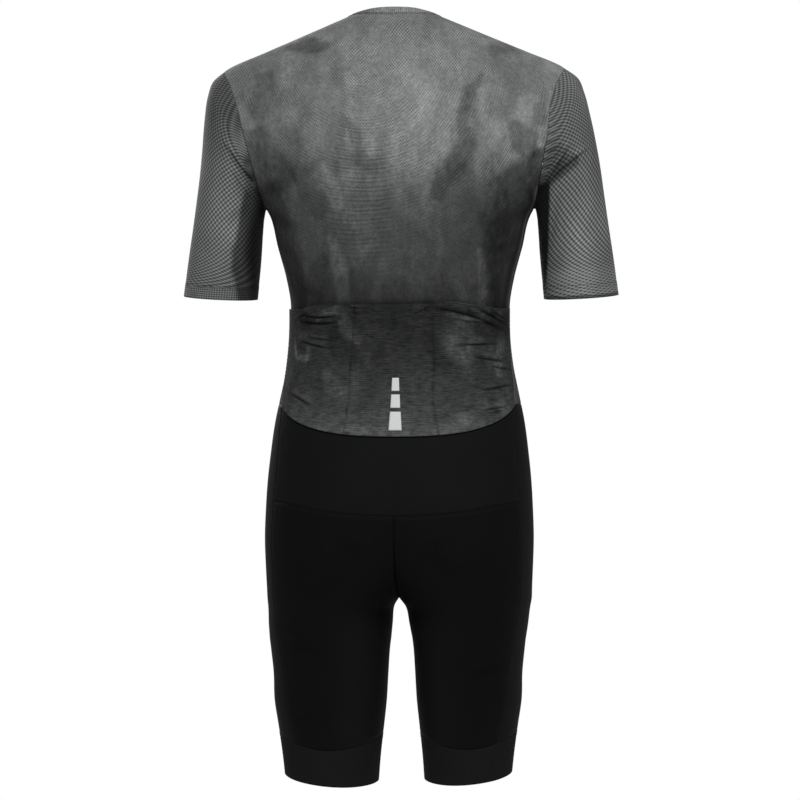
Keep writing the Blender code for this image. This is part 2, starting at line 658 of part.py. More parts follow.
def build_pockets():
    """The pocket panel, a layer on the lower back."""
    finer_columns, finer_rows = POCKET_FINER
    pockets = Cloth(
        "pocket_panel",
        body_point,
        lambda column, row: back_domain(column / finer_columns, row / finer_rows),
        2 * HALF_BACK_COLUMNS * finer_columns,
        POCKET_ZONE_ROWS * finer_rows,
        DARK_GREY,
    )
    pockets.lift(pocket_height).hold_apart().build()


# ---------------------------------------------------------------- sleeves
def build_sleeves():
    """Each sleeve in one piece, whose columns meet those of the panels round the armhole."""
    pit = [math.pi + share * PIT_ANGLE for share in (-1.0, -0.5, 0.0, 0.5, 1.0)]
    front = [i * ARMHOLE_STEP for i in range(ARMHOLE_ROWS)]
    angles = front + pit + [2 * math.pi - angle for angle in reversed(front)]
    sleeve = Cloth(
        "sleeve_left",
        sleeve_point,
        lambda column, row: (angles[column], 1 - row / SLEEVE_ROWS),
        len(angles) - 1,
        SLEEVE_ROWS,
        MESH_GREY,
        closed=True,
    )
    for column, angle in enumerate(angles):
        sleeve.outward[-1, column] = armhole_mitre(angle) * WALL
    sleeve.hold_apart().build()
    sleeve.build(mirrored=True, name="sleeve_right")


# ---------------------------------------------------------------- collar
def build_collar():
    """The low stand-up collar, open at the zip."""
    shares = [i / FRONT_COLUMNS - 1 for i in range(FRONT_COLUMNS)]
    shares += [i / HALF_BACK_COLUMNS for i in range(HALF_BACK_COLUMNS + 1)]
    shares += [2 - share for share in reversed(shares[:-1])]
    collar = Cloth(
        "collar",
        collar_point,
        lambda column, row: (shares[column], COLLAR_HEIGHT * row / COLLAR_ROWS),
        len(shares) - 1,
        COLLAR_ROWS,
        COLLAR_GREY,
    )
    for column, share in enumerate(shares):
        collar.outward[0, column] = neck_mitre(share) * WALL
    collar.hold_apart().build()


# ---------------------------------------------------------------- shorts
def shorts_row(row):
    """The heights of a row of the shorts, by name."""
    return dict(zip(SHORTS_COLUMNS, SHORTS_ROWS[row]))


def seam_turn(row, back):
    """The turn of the shorts' front or back side seam at a row."""
    z = shorts_row(row)["side_z"]
    return turn_at_depth(z, SEAMS.at(z)["back" if back else "front"], back)


def shorts_domain(turn, row):
    """A turn and the height of a row there, the same for every panel that meets at it."""
    heights = shorts_row(row)
    back = turn > 0
    edge = seam_turn(row, back)
    off_side = max(0.0, (abs(turn) - abs(edge)) / (1 - abs(edge)))
    share = 1 - waist_arch(1 - off_side, row / YOKE_ROW) if back else ease(off_side)
    z = mix(heights["side_z"], heights["back_z" if back else "front_z"], share)
    dip = heights["dip"] * math.sin(math.pi * turn) ** 2 if back else 0.0
    return turn, z - dip


def leg_turns(row):
    """The turns of the columns round a whole leg."""
    front, back = seam_turn(row, False), seam_turn(row, True)
    turns = [mix(-1.0, front, i / FRONT_COLUMNS) for i in range(FRONT_COLUMNS)]
    turns += [mix(front, back, i / SIDE_COLUMNS) for i in range(SIDE_COLUMNS)]
    return turns + [mix(back, 1.0, i / HALF_BACK_COLUMNS) for i in range(HALF_BACK_COLUMNS + 1)]


def build_shorts():
    """The seat yoke, each leg's three panels and its band."""
    side_column, back_column = FRONT_COLUMNS, FRONT_COLUMNS + SIDE_COLUMNS

    def yoke_domain(column, row):
        off = column - HALF_BACK_COLUMNS
        turn, z = shorts_domain(leg_turns(YOKE_ROW - row)[-1 - abs(off)], YOKE_ROW - row)
        return (turn if off <= 0 else 2 - turn), z

    Cloth("seat_yoke", body_point, yoke_domain, 2 * HALF_BACK_COLUMNS, YOKE_ROW, BLACK).hold_apart().build()

    panels = (
        ("short_front", 0, FRONT_COLUMNS, 0, BAND_ROW, WALL),
        ("short_side", side_column, SIDE_COLUMNS, 0, BAND_ROW, WALL),
        ("short_back", back_column, HALF_BACK_COLUMNS, YOKE_ROW, BAND_ROW, WALL),
        ("leg_band", 0, len(leg_turns(0)) - 1, BAND_ROW, HEM_ROW, BAND_WALL),
    )
    for name, first, columns, top, bottom, wall in panels:
        whole_leg = name == "leg_band"
        panel = Cloth(
            name + "_left",
            body_point,
            lambda column, row, first=first, bottom=bottom: shorts_domain(
                leg_turns(bottom - row)[first + column], bottom - row
            ),
            columns,
            bottom - top,
            BAND_BLACK if whole_leg else BLACK,
            wall,
            closed=whole_leg,
        )
        panel.hold_apart().build()
        panel.build(mirrored=True, name=name + "_right")


# ---------------------------------------------------------------- zip
def build_zip():
    """The closed zip from the waist to the top of the collar, with its slider and pull."""
    neck_z = neck_edge(-1)[1]

    def line_point(x, z):
        """A point of the front's middle line, up the chest and then up the collar."""
        point = body_point(-1.0, min(z, neck_z)) + (x, 0, 0)
        return point + max(0.0, z - neck_z) * np.array((0.0, math.tan(COLLAR_LEAN_FRONT), 1.0))

    def chain_domain(column, row):
        height = mix(WAIST_FRONT_Z, neck_z, row / ZIP_ROWS)
        if row > ZIP_ROWS:
            height = neck_z + COLLAR_HEIGHT * math.cos(COLLAR_LEAN_FRONT)
        return (column - 1) * ZIP_WIDTH / 2, height

    chain = Cloth("zip_chain", line_point, chain_domain, 2, ZIP_ROWS + 1, BLACK, ZIP_THICK)
    chain.lift(lambda row, column, point: ZIP_PROUD).hold_apart().build()

    up = np.array((0.0, math.sin(COLLAR_LEAN_FRONT), math.cos(COLLAR_LEAN_FRONT)))
    out = np.cross((1.0, 0.0, 0.0), up)
    seat = line_point(0.0, neck_z) + up * SLIDER_UP_COLLAR + out * (ZIP_PROUD + SEAM_GAP)
    to_slider = Matrix((Vector((1, 0, 0)), Vector(up), Vector(out))).transposed().to_4x4()
    to_slider.translation = Vector(seat)
    build_slider(to_slider)
    build_pull(to_slider)


def build_slider(to_slider):
    """A rounded block on the chain, with a wire bail over its middle."""
    shape = bmesh.new()
    bmesh.ops.create_cube(shape, size=1, matrix=Matrix.Diagonal((*SLIDER_SIZE, 1)))
    bmesh.ops.translate(shape, verts=shape.verts[:], vec=(0, 0, SLIDER_SIZE[2] / 2))
    bmesh.ops.bevel(
        shape, geom=shape.edges[:], offset=SLIDER_EDGE, segments=2, profile=0.5, affect="EDGES", material=-1
    )
    slider = add_object("zip_slider", shape, METAL, 0.4, 1.0)
    slider.matrix_world = to_slider

    wire = bmesh.new()
    foot = Matrix.Translation((0, BAIL_RADIUS, SLIDER_SIZE[2] - BAIL_WIRE))
    bmesh.ops.create_circle(wire, cap_ends=True, segments=WIRE_SIDES, radius=BAIL_WIRE, matrix=foot)
    bmesh.ops.spin(
        wire,
        geom=wire.verts[:] + wire.edges[:] + wire.faces[:],
        cent=(0, 0, SLIDER_SIZE[2] - BAIL_WIRE),
        axis=(1, 0, 0),
        angle=math.pi,
        steps=BAIL_STEPS,
    )
    bmesh.ops.recalc_face_normals(wire, faces=wire.faces[:])
    bail = add_object("zip_bail_form", wire, METAL, 0.4, 1.0)
    SUIT.objects.unlink(bail)
    CUTTERS.objects.link(bail)
    bail.hide_render = True
    bail.display_type = "WIRE"
    bail.matrix_world = to_slider
    join = slider.modifiers.new("bail", "BOOLEAN")
    join.operation = "UNION"
    join.object = bail


def build_pull(to_slider):
    """A flat tab that hangs from its crossbar, which passes under the bail."""
    outline = bpy.data.curves.new("zip_pull", "CURVE")
    outline.dimensions = "2D"
    outline.fill_mode = "BOTH"
    outline.extrude = TAB_THICK / 2
    window_top, window_bottom = -TAB_BAR, -TAB_BAR - TAB_WINDOW[1]
    add_rounded_outline(outline, TAB_WIDTH, TAB_BAR, TAB_BAR - TAB_LENGTH, TAB_CORNER, TAB_BAR)
    add_rounded_outline(outline, TAB_WINDOW[0], window_top, window_bottom, TAB_BAR, TAB_BAR / 2)
    flat = bpy.data.objects.new("zip_pull_outline", outline)
    SUIT.objects.link(flat)
    mesh = bpy.data.meshes.new_from_object(flat.evaluated_get(bpy.context.evaluated_depsgraph_get()))
    bpy.data.objects.remove(flat)
    shape = bmesh.new()
    shape.from_mesh(mesh)
    bmesh.ops.remove_doubles(shape, verts=shape.verts[:], dist=SAME_PLACE)
    bmesh.ops.recalc_face_normals(shape, faces=shape.faces[:])
    pull = add_object("zip_pull", shape, METAL, 0.4, 1.0)
    pull.matrix_world = to_slider @ Matrix.Translation((0, 0, SLIDER_SIZE[2] + PIVOT_HEIGHT))


def add_rounded_outline(curve, width, top, bottom, low_radius, high_radius):
    """A closed polyline with four round corners."""
    corners = (
        (width / 2 - high_radius, top - high_radius, high_radius, 0.0),
        (-width / 2 + high_radius, top - high_radius, high_radius, 0.5),
        (-width / 2 + low_radius, bottom + low_radius, low_radius, 1.0),
        (width / 2 - low_radius, bottom + low_radius, low_radius, 1.5),
    )
    points = []
    for x, y, radius, start in corners:
        for step in range(CORNER_STEPS + 1):
            angle = math.pi * (start + step / CORNER_STEPS / 2)
            points.append((x + radius * math.cos(angle), y + radius * math.sin(angle)))
    spline = curve.splines.new("POLY")
    spline.points.add(len(points) - 1)
    for point, (x, y) in zip(spline.points, points):
        point.co = (x, y, 0, 1)
    spline.use_cyclic_u = True


# ---------------------------------------------------------------- the suit
for old in list(bpy.data.objects):
    bpy.data.objects.remove(old)
SUIT = new_collection("cycling_skinsuit")
CUTTERS = new_collection("cutters")

build_torso()
build_pockets()
build_sleeves()
build_collar()
build_shorts()
build_zip()
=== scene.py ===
import logging
import math
from dataclasses import dataclass, field, replace
from enum import Enum
from typing import Callable, Iterable, Sequence

import bmesh
import bpy
import numpy as np
from mathutils import Matrix, Vector, noise


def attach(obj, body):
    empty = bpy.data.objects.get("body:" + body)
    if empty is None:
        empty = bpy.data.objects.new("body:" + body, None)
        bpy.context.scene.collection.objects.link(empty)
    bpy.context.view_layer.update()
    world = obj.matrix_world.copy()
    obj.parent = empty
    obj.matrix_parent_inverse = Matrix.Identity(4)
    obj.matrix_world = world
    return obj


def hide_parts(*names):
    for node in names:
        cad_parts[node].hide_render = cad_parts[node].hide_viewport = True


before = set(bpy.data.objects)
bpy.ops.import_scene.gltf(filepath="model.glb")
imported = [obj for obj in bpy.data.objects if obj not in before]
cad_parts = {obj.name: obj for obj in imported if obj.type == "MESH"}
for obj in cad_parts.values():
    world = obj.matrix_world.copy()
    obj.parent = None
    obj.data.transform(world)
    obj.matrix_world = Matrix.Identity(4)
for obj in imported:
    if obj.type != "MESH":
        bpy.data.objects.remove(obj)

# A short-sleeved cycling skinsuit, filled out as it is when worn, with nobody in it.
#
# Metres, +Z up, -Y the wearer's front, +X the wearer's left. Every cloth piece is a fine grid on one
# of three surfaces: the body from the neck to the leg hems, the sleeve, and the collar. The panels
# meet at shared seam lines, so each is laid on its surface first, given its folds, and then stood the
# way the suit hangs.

LOG = logging.getLogger("skinsuit")
Array = np.ndarray
Pair = tuple[Array, Array]
Place = tuple[float, float, float]
Course = Sequence[tuple[float, float]]  # places, and a value at each of them
Material = bpy.types.Material
Object = bpy.types.Object

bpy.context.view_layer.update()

SUIT_BODY = "suit"
PULL_BODY = "pull_tab"

# ---------------- sizes shared by the pieces
PER_METRE = 1000  # millimetres
WALL = 0.0010  # of the cloth as it is shown
BAND_WALL = 0.0013  # of the elastic at the leg hems
SOLID_WALL = 0.0012  # of the solids' own cloth
RAISED = 0.0007  # between the back and the pockets that lie on it
KNIT_STRETCH = 1.14  # how much wider the cloth is on the wearer than as it is cut

NECK_HALF_WIDTH = 0.058
NECK_SIDE_Y = 0.012
NECK_BACK_Y = 0.068
NECK_FRONT_Y = -0.061
NECK_MIDDLE_Y = (NECK_BACK_Y + NECK_FRONT_Y) / 2
COLLAR_HEIGHT = 0.0105
COLLAR_LEAN_FRONT = math.radians(17)
COLLAR_LEAN_SIDE = math.radians(60)
COLLAR_LEAN_BACK = math.radians(27)

SHOULDER_TIP_Z = -0.064
ARMPIT_Z = -0.234
ARMHOLE_BACK = 0.070
ARMHOLE_FRONT = 0.076
CUFF_TILT = 0.005
SIDE_PANEL_TOP = 0.022

WAIST_SIDE_Z = -0.473
WAIST_BACK_Z = -0.511
WAIST_FRONT_Z = -0.468
WAIST_ARCH = 2.2  # how round the waist seam hangs behind
CROTCH_Z = -0.7085

POCKET_TOP_SIDE_Z = -0.356
POCKET_TOP_BACK_Z = -0.350
POCKET_SLACK = 0.0022  # how far the empty pockets stand off between their stitch lines
DIVIDER_TOP_X = 0.048
DIVIDER_BOTTOM_X = 0.057
SLACK_RISE = 0.6

# How the two sides differ as the suit stands.
NECK_SHIFT = 0.0058
LEAN_TOP_Z = -0.060
LEAN_END_Z = -0.200
FULLER_LEG = 0.035
FULLER_LEG_X = 0.084
FULLER_LEG_RAMP = 0.050
LEFT_LEG_DROP = 0.004
LEG_LENGTH = 0.230

ZIP_WIDTH = 0.0062

NORMAL_STEP = 1e-4
SAME_PLACE = 1e-6
NO_LENGTH = 1e-12
HALVINGS = 40  # which find a height to far less than a thread
SETTLING = 3  # rounds that bring a point of the grid to where it is wanted

# ---------------- grids
# Columns and rows of the solids' own panels, each of which is cut FINER times here.
HALF_BACK_COLUMNS = 9
FRONT_COLUMNS = 8
SIDE_COLUMNS = 4
POCKET_ZONE_ROWS = 5
CHEST_ZONE_ROWS = 5
ARMHOLE_ROWS = 10
SHOULDER_ROWS = 5
SLEEVE_ROWS = 11
FINER = 7

# ---------------- sections
# The body's rings in millimetres, but for how square they are.
BODY_COLUMNS = ("z", "leg_x", "outer_x", "front_y", "back_y", "side_y", "square")
BODY_UNITS = (PER_METRE,) * 6 + (1,)
BODY_RINGS = (
    (6, 0, 41, -49, 60, 12, 2),
    (0, 0, 54.5, -50, 64, 12, 2),
    (-14, 0, 87.5, -52, 74, 12, 2.02),
    (-30, 0, 125.5, -54, 83, 12, 2.05),
    (-46, 0, 163.5, -57, 90, 12, 2.1),
    (-64, 0, 205, -62, 95.5, 12, 2.2),
    (-90, 0, 221.5, -74, 102, 11, 2.35),
    (-120, 0, 228, -87, 107, 10, 2.45),
    (-150, 0, 222, -98, 110, 8, 2.5),
    (-180, 0, 203, -107, 111, 6, 2.5),
    (-210, 0, 181, -113, 110, 3, 2.45),
    (-240, 0, 160.5, -116, 108, 0, 2.4),
    (-280, 0, 150, -116, 102, -3, 2.35),
    (-320, 0, 139.5, -112, 94, -6, 2.3),
    (-355, 0, 134.5, -108, 88.5, -8, 2.3),
    (-390, 0, 135.2, -106, 87, -8, 2.3),
    (-425, 0, 139, -106, 90, -6, 2.3),
    (-460, 0, 146, -107, 96, -3, 2.3),
    (-495, 0, 153, -108, 104, 1, 2.3),
    (-530, 0, 157.5, -108, 113, 5, 2.3),
    (-565, 10, 161, -106.5, 120, 8, 2.3),
    (-600, 24, 163, -104.5, 124.5, 10, 2.3),
    (-635, 43, 164, -102.5, 124, 11, 2.28),
    (-670, 63, 163, -100.5, 119, 10, 2.22),
    (-695, 76, 162, -98.5, 113, 8, 2.16),
    (CROTCH_Z * PER_METRE, 80.8, 161.6, -97, 109, 6, 2.13),
    (-720, 83.8, 160.2, -95.5, 105, 5, 2.1),
    (-740, 84.6, 158.8, -93, 99, 4, 2.08),
    (-770, 85, 155.5, -89, 91, 3, 2.06),
    (-800, 84.5, 152.5, -84.5, 85, 2, 2.05),
    (-830, 85, 151.8, -80, 80, 1, 2.04),
    (-865, 84.3, 146.8, -74.5, 74.5, 0, 2.03),
    (-900, 83.8, 142, -70, 70.5, 0, 2.02),
    (-940, 83.2, 137.8, -67, 67.5, 0, 2.02),
)

ARMHOLE_MIDDLE_Z = (SHOULDER_TIP_Z + ARMPIT_Z) / 2
ARMHOLE_HALF_Z = (SHOULDER_TIP_Z - ARMPIT_Z) / 2
PIT_ANGLE = math.asin(SIDE_PANEL_TOP / ARMHOLE_BACK)
PIT_SEAM_Z = ARMHOLE_MIDDLE_Z - ARMHOLE_HALF_Z * math.cos(PIT_ANGLE)

SIDE_SEAM_COLUMNS = ("z", "front", "back")
SIDE_SEAMS = (
    (PIT_SEAM_Z, ARMHOLE_FRONT * math.sin(PIT_ANGLE), SIDE_PANEL_TOP), (-0.28, 0.0215, 0.0205),
    (-0.34, 0.0205, 0.02), (-0.4, 0.023, 0.023), (-0.44, 0.03, 0.031), (-0.475, 0.039, 0.041),
    (-0.515, 0.045, 0.051), (-0.56, 0.048, 0.058), (-0.62, 0.05, 0.062), (-0.7, 0.05, 0.0635),
    (-0.76, 0.048, 0.06), (-0.82, 0.045, 0.059), (-0.88, 0.042, 0.059), (-0.95, 0.04, 0.057),
)

# The share of the sleeve's length, and in millimetres the outer point's x and z, the pit point's x
# and z, and the depth in front and behind.
SLEEVE_RINGS = (
    (0.06, 223, -75.5, 166, -234.5, -67.5, 74),
    (0.13, 230.5, -94, 168, -245, -66.5, 74.5),
    (0.23, 236.2, -122, 169, -256, -65, 73),
    (0.38, 242.5, -165, 170, -270, -62.5, 68.5),
    (0.54, 248.5, -209, 171, -286, -60, 62),
    (0.7, 255, -254, 172.5, -304, -58, 56),
    (0.85, 261.5, -297, 174.5, -324, -55, 51),
    (1, 267, -339, 176.5, -344, -53, 48),
)

# Heights of the rows of the shorts: side seams, back seam or inseam, front seam or inseam, and how
# far the row dips behind the leg.
SHORTS_ROWS = (
    (WAIST_SIDE_Z, WAIST_BACK_Z, WAIST_FRONT_Z, 0), (-0.502, -0.535, -0.5, 0), (-0.532, -0.559, -0.532, 0),
    (-0.562, -0.582, -0.562, 0), (-0.59, -0.604, -0.59, 0), (-0.616, -0.626, -0.616, 0),
    (-0.642, -0.648, -0.642, 0), (-0.664, -0.667, -0.664, 0), (-0.682, -0.683, -0.682, 0),
    (-0.696, -0.695, -0.695, 0), (-0.706, -0.7035, -0.7035, 0), (-0.715, CROTCH_Z, CROTCH_Z, 0.001),
    (-0.728, -0.72, -0.72, 0.002), (-0.745, -0.738, -0.738, 0.003), (-0.768, -0.763, -0.763, 0.004),
    (-0.793, -0.79, -0.79, 0.006), (-0.819, -0.818, -0.818, 0.009), (-0.845, -0.846, -0.846, 0.012),
    (-0.87, -0.873, -0.873, 0.014), (-0.896, -0.902, -0.902, 0.01), (-0.921, -0.93, -0.93, 0.005),
)
YOKE_ROW = 4
BAND_ROW = 18
HEM_ROW = 20


# ---------------- curves and tables
def paired(a: Array, b: Array) -> Pair:
    """Two values as arrays of numbers of one shape."""
    return np.broadcast_arrays(np.asarray(a, float), np.asarray(b, float))


def length_of(vectors: Array) -> Array:
    """The lengths of vectors."""
    return np.linalg.norm(vectors, axis=-1)


def unit(vectors: Array) -> Array:
    """Vectors of length 1."""
    return vectors / np.maximum(length_of(vectors), NO_LENGTH)[..., None]


def run(points: Array, axis: int) -> Array:
    """How far each point is from the first one, along its column (axis 0) or its row (axis 1)."""
    reach = length_of(np.diff(points, axis=axis)).cumsum(axis=axis)
    return np.pad(reach, [(int(k == axis), 0) for k in range(reach.ndim)])


def read(course: Course, places: Array) -> Array:
    """The values at some places, in straight lines between those of a course."""
    return np.interp(places, *np.array(course).T)


def hump(off: Array, width: Array) -> Array:
    """1 at no distance off, and little beyond a width."""
    return np.exp(-((off / width) ** 2))


def hermite(t: Array, h: Array, p0: Array, p1: Array, s0: Array, s1: Array) -> Array:
    """The smooth curve at shares t of a step h long, from p0 to p1, with the slopes s0 and s1 there."""
    return (
        (1 + 2 * t) * (1 - t) ** 2 * p0
        + t * (1 - t) ** 2 * h * s0
        + t * t * (3 - 2 * t) * p1
        + t * t * (t - 1) * h * s1
    )


def span(keys: Array, key: Array) -> tuple[Array, Array, Array]:
    """The last row at or below each key, the step up to the next row, and the share of it at the key."""
    i = np.clip(np.searchsorted(keys, key, side="right") - 1, 0, len(keys) - 2)
    h = (keys[i + 1] - keys[i])[..., None]
    return i, h, (key - keys[i])[..., None] / h


def ease(share: Array) -> Array:
    """A share from 0 to 1 that starts and ends level."""
    return (1 - np.cos(np.pi * share)) / 2


def mix(a: Array, b: Array, share: Array) -> Array:
    """The value that share of the way from a to b."""
    return a + (b - a) * share


def step(low: float, high: float, value: Array) -> Array:
    """0 below low, 1 above high, and a soft rise between them."""
    return ease(np.clip((value - low) / (high - low), 0, 1))


def waist_arch(off: Array, away: Array) -> Array:
    """How far a row of the back has risen from the middle to the side: the waist seam is an arch, and
    rows some way off it, where away is 1 or more, are eased."""
    return mix(off**WAIST_ARCH, ease(off), np.minimum(1.0, away))


def signed_power(value: Array, power: Array) -> Array:
    """The power of a value's size, with its sign."""
    return np.copysign(np.abs(value) ** power, value)


class Table:
    """Rows of sizes with named columns, read between the rows along a smooth curve."""

    def __init__(self, columns: Sequence[str], rows: Iterable[Sequence[float]]) -> None:
        """Sorts the rows by their first column, the key, and finds slopes that never overshoot."""
        self.columns = columns
        self.rows = np.array(sorted(map(tuple, rows)), float)
        self.keys = self.rows[:, 0]
        self.slopes = np.gradient(self.rows, self.keys, axis=0)
        steps = np.diff(self.rows, axis=0) / np.diff(self.keys)[:, None]
        turns_back = steps[:-1] * steps[1:] <= 0
        limit = 3 * np.minimum(abs(steps[:-1]), abs(steps[1:]))
        self.slopes[1:-1] = np.where(turns_back, 0, np.clip(self.slopes[1:-1], -limit, limit))

    def at(self, key: Array) -> dict[str, Array]:
        """The columns at each key, by name."""
        i, h, t = span(self.keys, np.clip(key, self.keys[0], self.keys[-1]))
        row = hermite(t, h, self.rows[i], self.rows[i + 1], self.slopes[i], self.slopes[i + 1])
        return {name: row[..., k] for k, name in enumerate(self.columns)}


# ---------------- the surfaces
class Body:
    """The suit from the neck to the leg hems, as a stack of rings.

    A turn is -1 at the front middle or inseam, 0 at the wearer's left side, 1 at the back middle or
    inseam, and 2 at the right side.
    """

    rings = Table(BODY_COLUMNS, np.array(BODY_RINGS) / BODY_UNITS)
    seams = Table(SIDE_SEAM_COLUMNS, SIDE_SEAMS)

    @staticmethod
    def ring_end(ring: dict[str, Array]) -> Array:
        """The angle from the side line at which a ring meets the middle plane, or half a turn."""
        share = np.minimum(1.0, ring["leg_x"] / (ring["outer_x"] - ring["leg_x"]))
        return np.pi - np.arccos(share ** (ring["square"] / 2))

    @staticmethod
    def depth(ring: dict[str, Array], behind: Array) -> Array:
        """How far a ring reaches behind, or in front of, its side line."""
        return np.where(behind, ring["back_y"] - ring["side_y"], ring["side_y"] - ring["front_y"])

    @classmethod
    def point(cls, turn: Array, z: Array) -> Array:
        """The points at some turns and heights."""
        turn, z = paired(turn, z)
        past = np.abs(turn) > 1
        mirrored = past & (z >= CROTCH_Z)
        whole = np.copysign(2.0, turn)
        turn = np.where(mirrored, whole - turn, np.where(past, turn - whole, turn))
        ring = cls.rings.at(z)
        angle, power = turn * cls.ring_end(ring), 2 / ring["square"]
        across = (ring["outer_x"] - ring["leg_x"]) * signed_power(np.cos(angle), power)
        x = np.where(mirrored, -1, 1) * (ring["leg_x"] + across)
        y = ring["side_y"] + cls.depth(ring, turn > 0) * signed_power(np.sin(angle), power)
        return np.stack((x, y, z), axis=-1)

    @classmethod
    def turn_at_depth(cls, z: Array, depth: Array, back: Array) -> Array:
        """The turn at which a ring is that far behind, or in front of, the side line."""
        ring = cls.rings.at(np.asarray(z, float))
        angle = np.arcsin(np.clip(depth / cls.depth(ring, back), 0, 1) ** (ring["square"] / 2))
        return np.where(back, angle, -angle) / cls.ring_end(ring)

    @classmethod
    def zip_turn(cls, z: Array) -> Array:
        """The turn of the zip's left edge on the front of a ring."""
        ring = cls.rings.at(z)
        angle = np.arccos((ZIP_WIDTH / 2 / ring["outer_x"]) ** (ring["square"] / 2))
        return -angle / cls.ring_end(ring)

    @classmethod
    def side_seam(cls, z: Array, back: bool) -> Array:
        """The turn of the side panel's front or back seam."""
        return cls.turn_at_depth(z, cls.seams.at(z)["back" if back else "front"], back)

    @classmethod
    def armhole(cls, angle: Array) -> Pair:
        """The turn and height of the armhole seam, from 0 at the shoulder, by the front."""
        z = ARMHOLE_MIDDLE_Z + ARMHOLE_HALF_Z * np.cos(angle)
        across = np.sin(angle)
        width = np.where(across > 0, ARMHOLE_FRONT, ARMHOLE_BACK)
        return cls.turn_at_depth(z, np.abs(across) * width, across < 0), z

    @classmethod
    def over(cls, x: Array, y: Array) -> Pair:
        """The turn and height of the points of the shoulders over points of the ground plan."""
        low, high = np.full(x.shape, PIT_SEAM_Z), np.full(x.shape, cls.rings.keys[-1])
        for _ in range(HALVINGS):
            z = (low + high) / 2
            ring = cls.rings.at(z)
            whole = cls.depth(ring, y > ring["side_y"])
            across, along = np.abs(x) / ring["outer_x"], np.abs(y - ring["side_y"]) / whole
            outside = across ** ring["square"] + along ** ring["square"] > 1
            low, high = np.where(outside, low, z), np.where(outside, z, high)
        power = ring["square"] / 2
        angle = np.arctan2(along**power, across**power)
        return np.copysign(angle / cls.ring_end(ring), y - ring["side_y"]), z

    @classmethod
    def neck_edge(cls, share: Array) -> Pair:
        """The turn and height of the neck seam: share -1 is the zip's left edge, 0 the left shoulder
        seam, 1 the back middle and 2 the right shoulder seam, round to 3."""
        share = np.asarray(share, float)
        far = share > 1
        near = np.where(far, 2 - share, share)
        to_zip = 1 - 2 / np.pi * math.asin(ZIP_WIDTH / 2 / NECK_HALF_WIDTH)
        angle = near * np.where(near > 0, 1.0, to_zip) * np.pi / 2
        depth = np.where(near > 0, NECK_BACK_Y - NECK_SIDE_Y, NECK_SIDE_Y - NECK_FRONT_Y)
        turn, z = cls.over(NECK_HALF_WIDTH * np.cos(angle), NECK_SIDE_Y + depth * np.sin(angle))
        return np.where(far, 2 - turn, turn), z


class Sleeve:
    """The left sleeve, from the armhole to its hem.

    An angle is 0 at the outer line and half a turn at the armpit, going round by the front.
    """

    stations = np.array([0.0] + [ring[0] for ring in SLEEVE_RINGS])

    @classmethod
    def point(cls, angle: Array, along: Array) -> Array:
        """The points at some angles and shares of the sleeve's length."""
        angle, along = paired(angle, along)
        rings = [Body.point(*Body.armhole(angle))]
        for share, *sizes in SLEEVE_RINGS:
            top_x, top_z, pit_x, pit_z, front_y, back_y = (size / PER_METRE for size in sizes)
            turned, across = (1 + np.cos(angle)) / 2, np.sin(angle)
            y = mix(front_y, back_y, (1 - across) / 2)
            z = mix(pit_z, top_z, turned) + CUFF_TILT * share**2 * across
            rings.append(np.stack((mix(pit_x, top_x, turned), y, z), axis=-1))
        rings = np.array(rings)
        slopes = np.gradient(rings, cls.stations, axis=0)
        i, h, t = span(cls.stations, along)
        here, there = i[None, ..., None], (i + 1)[None, ..., None]
        ends = (np.take_along_axis(kind, at, axis=0)[0] for kind in (rings, slopes) for at in (here, there))
        return hermite(t, h, *ends)


class Collar:
    """The low collar, which leans most over the shoulders."""

    @staticmethod
    def point(share: Array, height: Array) -> Array:
        """The points at some shares round the neck and heights up from its seam."""
        share, height = paired(share, height)
        base = Body.point(*Body.neck_edge(share))
        inward = np.stack((-base[..., 0], NECK_MIDDLE_Y - base[..., 1], np.zeros(share.shape)), axis=-1)
        inward /= length_of(inward)[..., None]
        end_lean = np.where((share < 0) | (share > 2), COLLAR_LEAN_FRONT, COLLAR_LEAN_BACK)
        lean = mix(COLLAR_LEAN_SIDE, end_lean, ease(np.abs((share + 1) % 2 - 1)))[..., None]
        up = np.cos(lean) * np.array((0.0, 0.0, 1.0)) + np.sin(lean) * inward
        return base + height[..., None] * up


Surface = Callable[[Array, Array], Array]


def outward_of(surface: Surface, u: Array, v: Array) -> Array:
    """The outward normals of a surface whose two parameters turn rightwards about them.

    Args:
        surface: The surface's point function.
        u: First parameter.
        v: Second parameter.

    Returns:
        Unit normals, straight down in the crease of the crotch.
    """
    along_u = surface(u + NORMAL_STEP, v) - surface(u - NORMAL_STEP, v)
    along_v = surface(u, v + NORMAL_STEP) - surface(u, v - NORMAL_STEP)
    normal = unit(np.cross(along_u, along_v))
    if surface == Body.point:
        u, v = np.broadcast_arrays(u, v)
        crease = (abs(abs(u) - 1) < SAME_PLACE) & (abs(v - CROTCH_Z) < 2 * NORMAL_STEP)
        normal = np.where(crease[..., None], (0.0, 0.0, -1.0), normal)
    return normal


def stance(points: Array) -> Array:
    """The points of either side, with the little that the two sides differ as the suit stands."""
    points = points.copy()
    x, z = points[..., 0], points[..., 2]
    below_neck = np.clip((LEAN_TOP_Z - z) / (LEAN_TOP_Z - LEAN_END_Z), 0, 1)
    down_leg = np.clip((CROTCH_Z - z) / FULLER_LEG_RAMP, 0, 1)
    leg_x = np.copysign(FULLER_LEG_X, x)
    x += (x - leg_x) * FULLER_LEG * np.sign(x) * down_leg
    x -= NECK_SHIFT * ease(below_neck)
    z -= np.where(leg_x > 0, LEFT_LEG_DROP, 0) * np.clip((CROTCH_Z - z) / LEG_LENGTH, 0, 1)
    return points


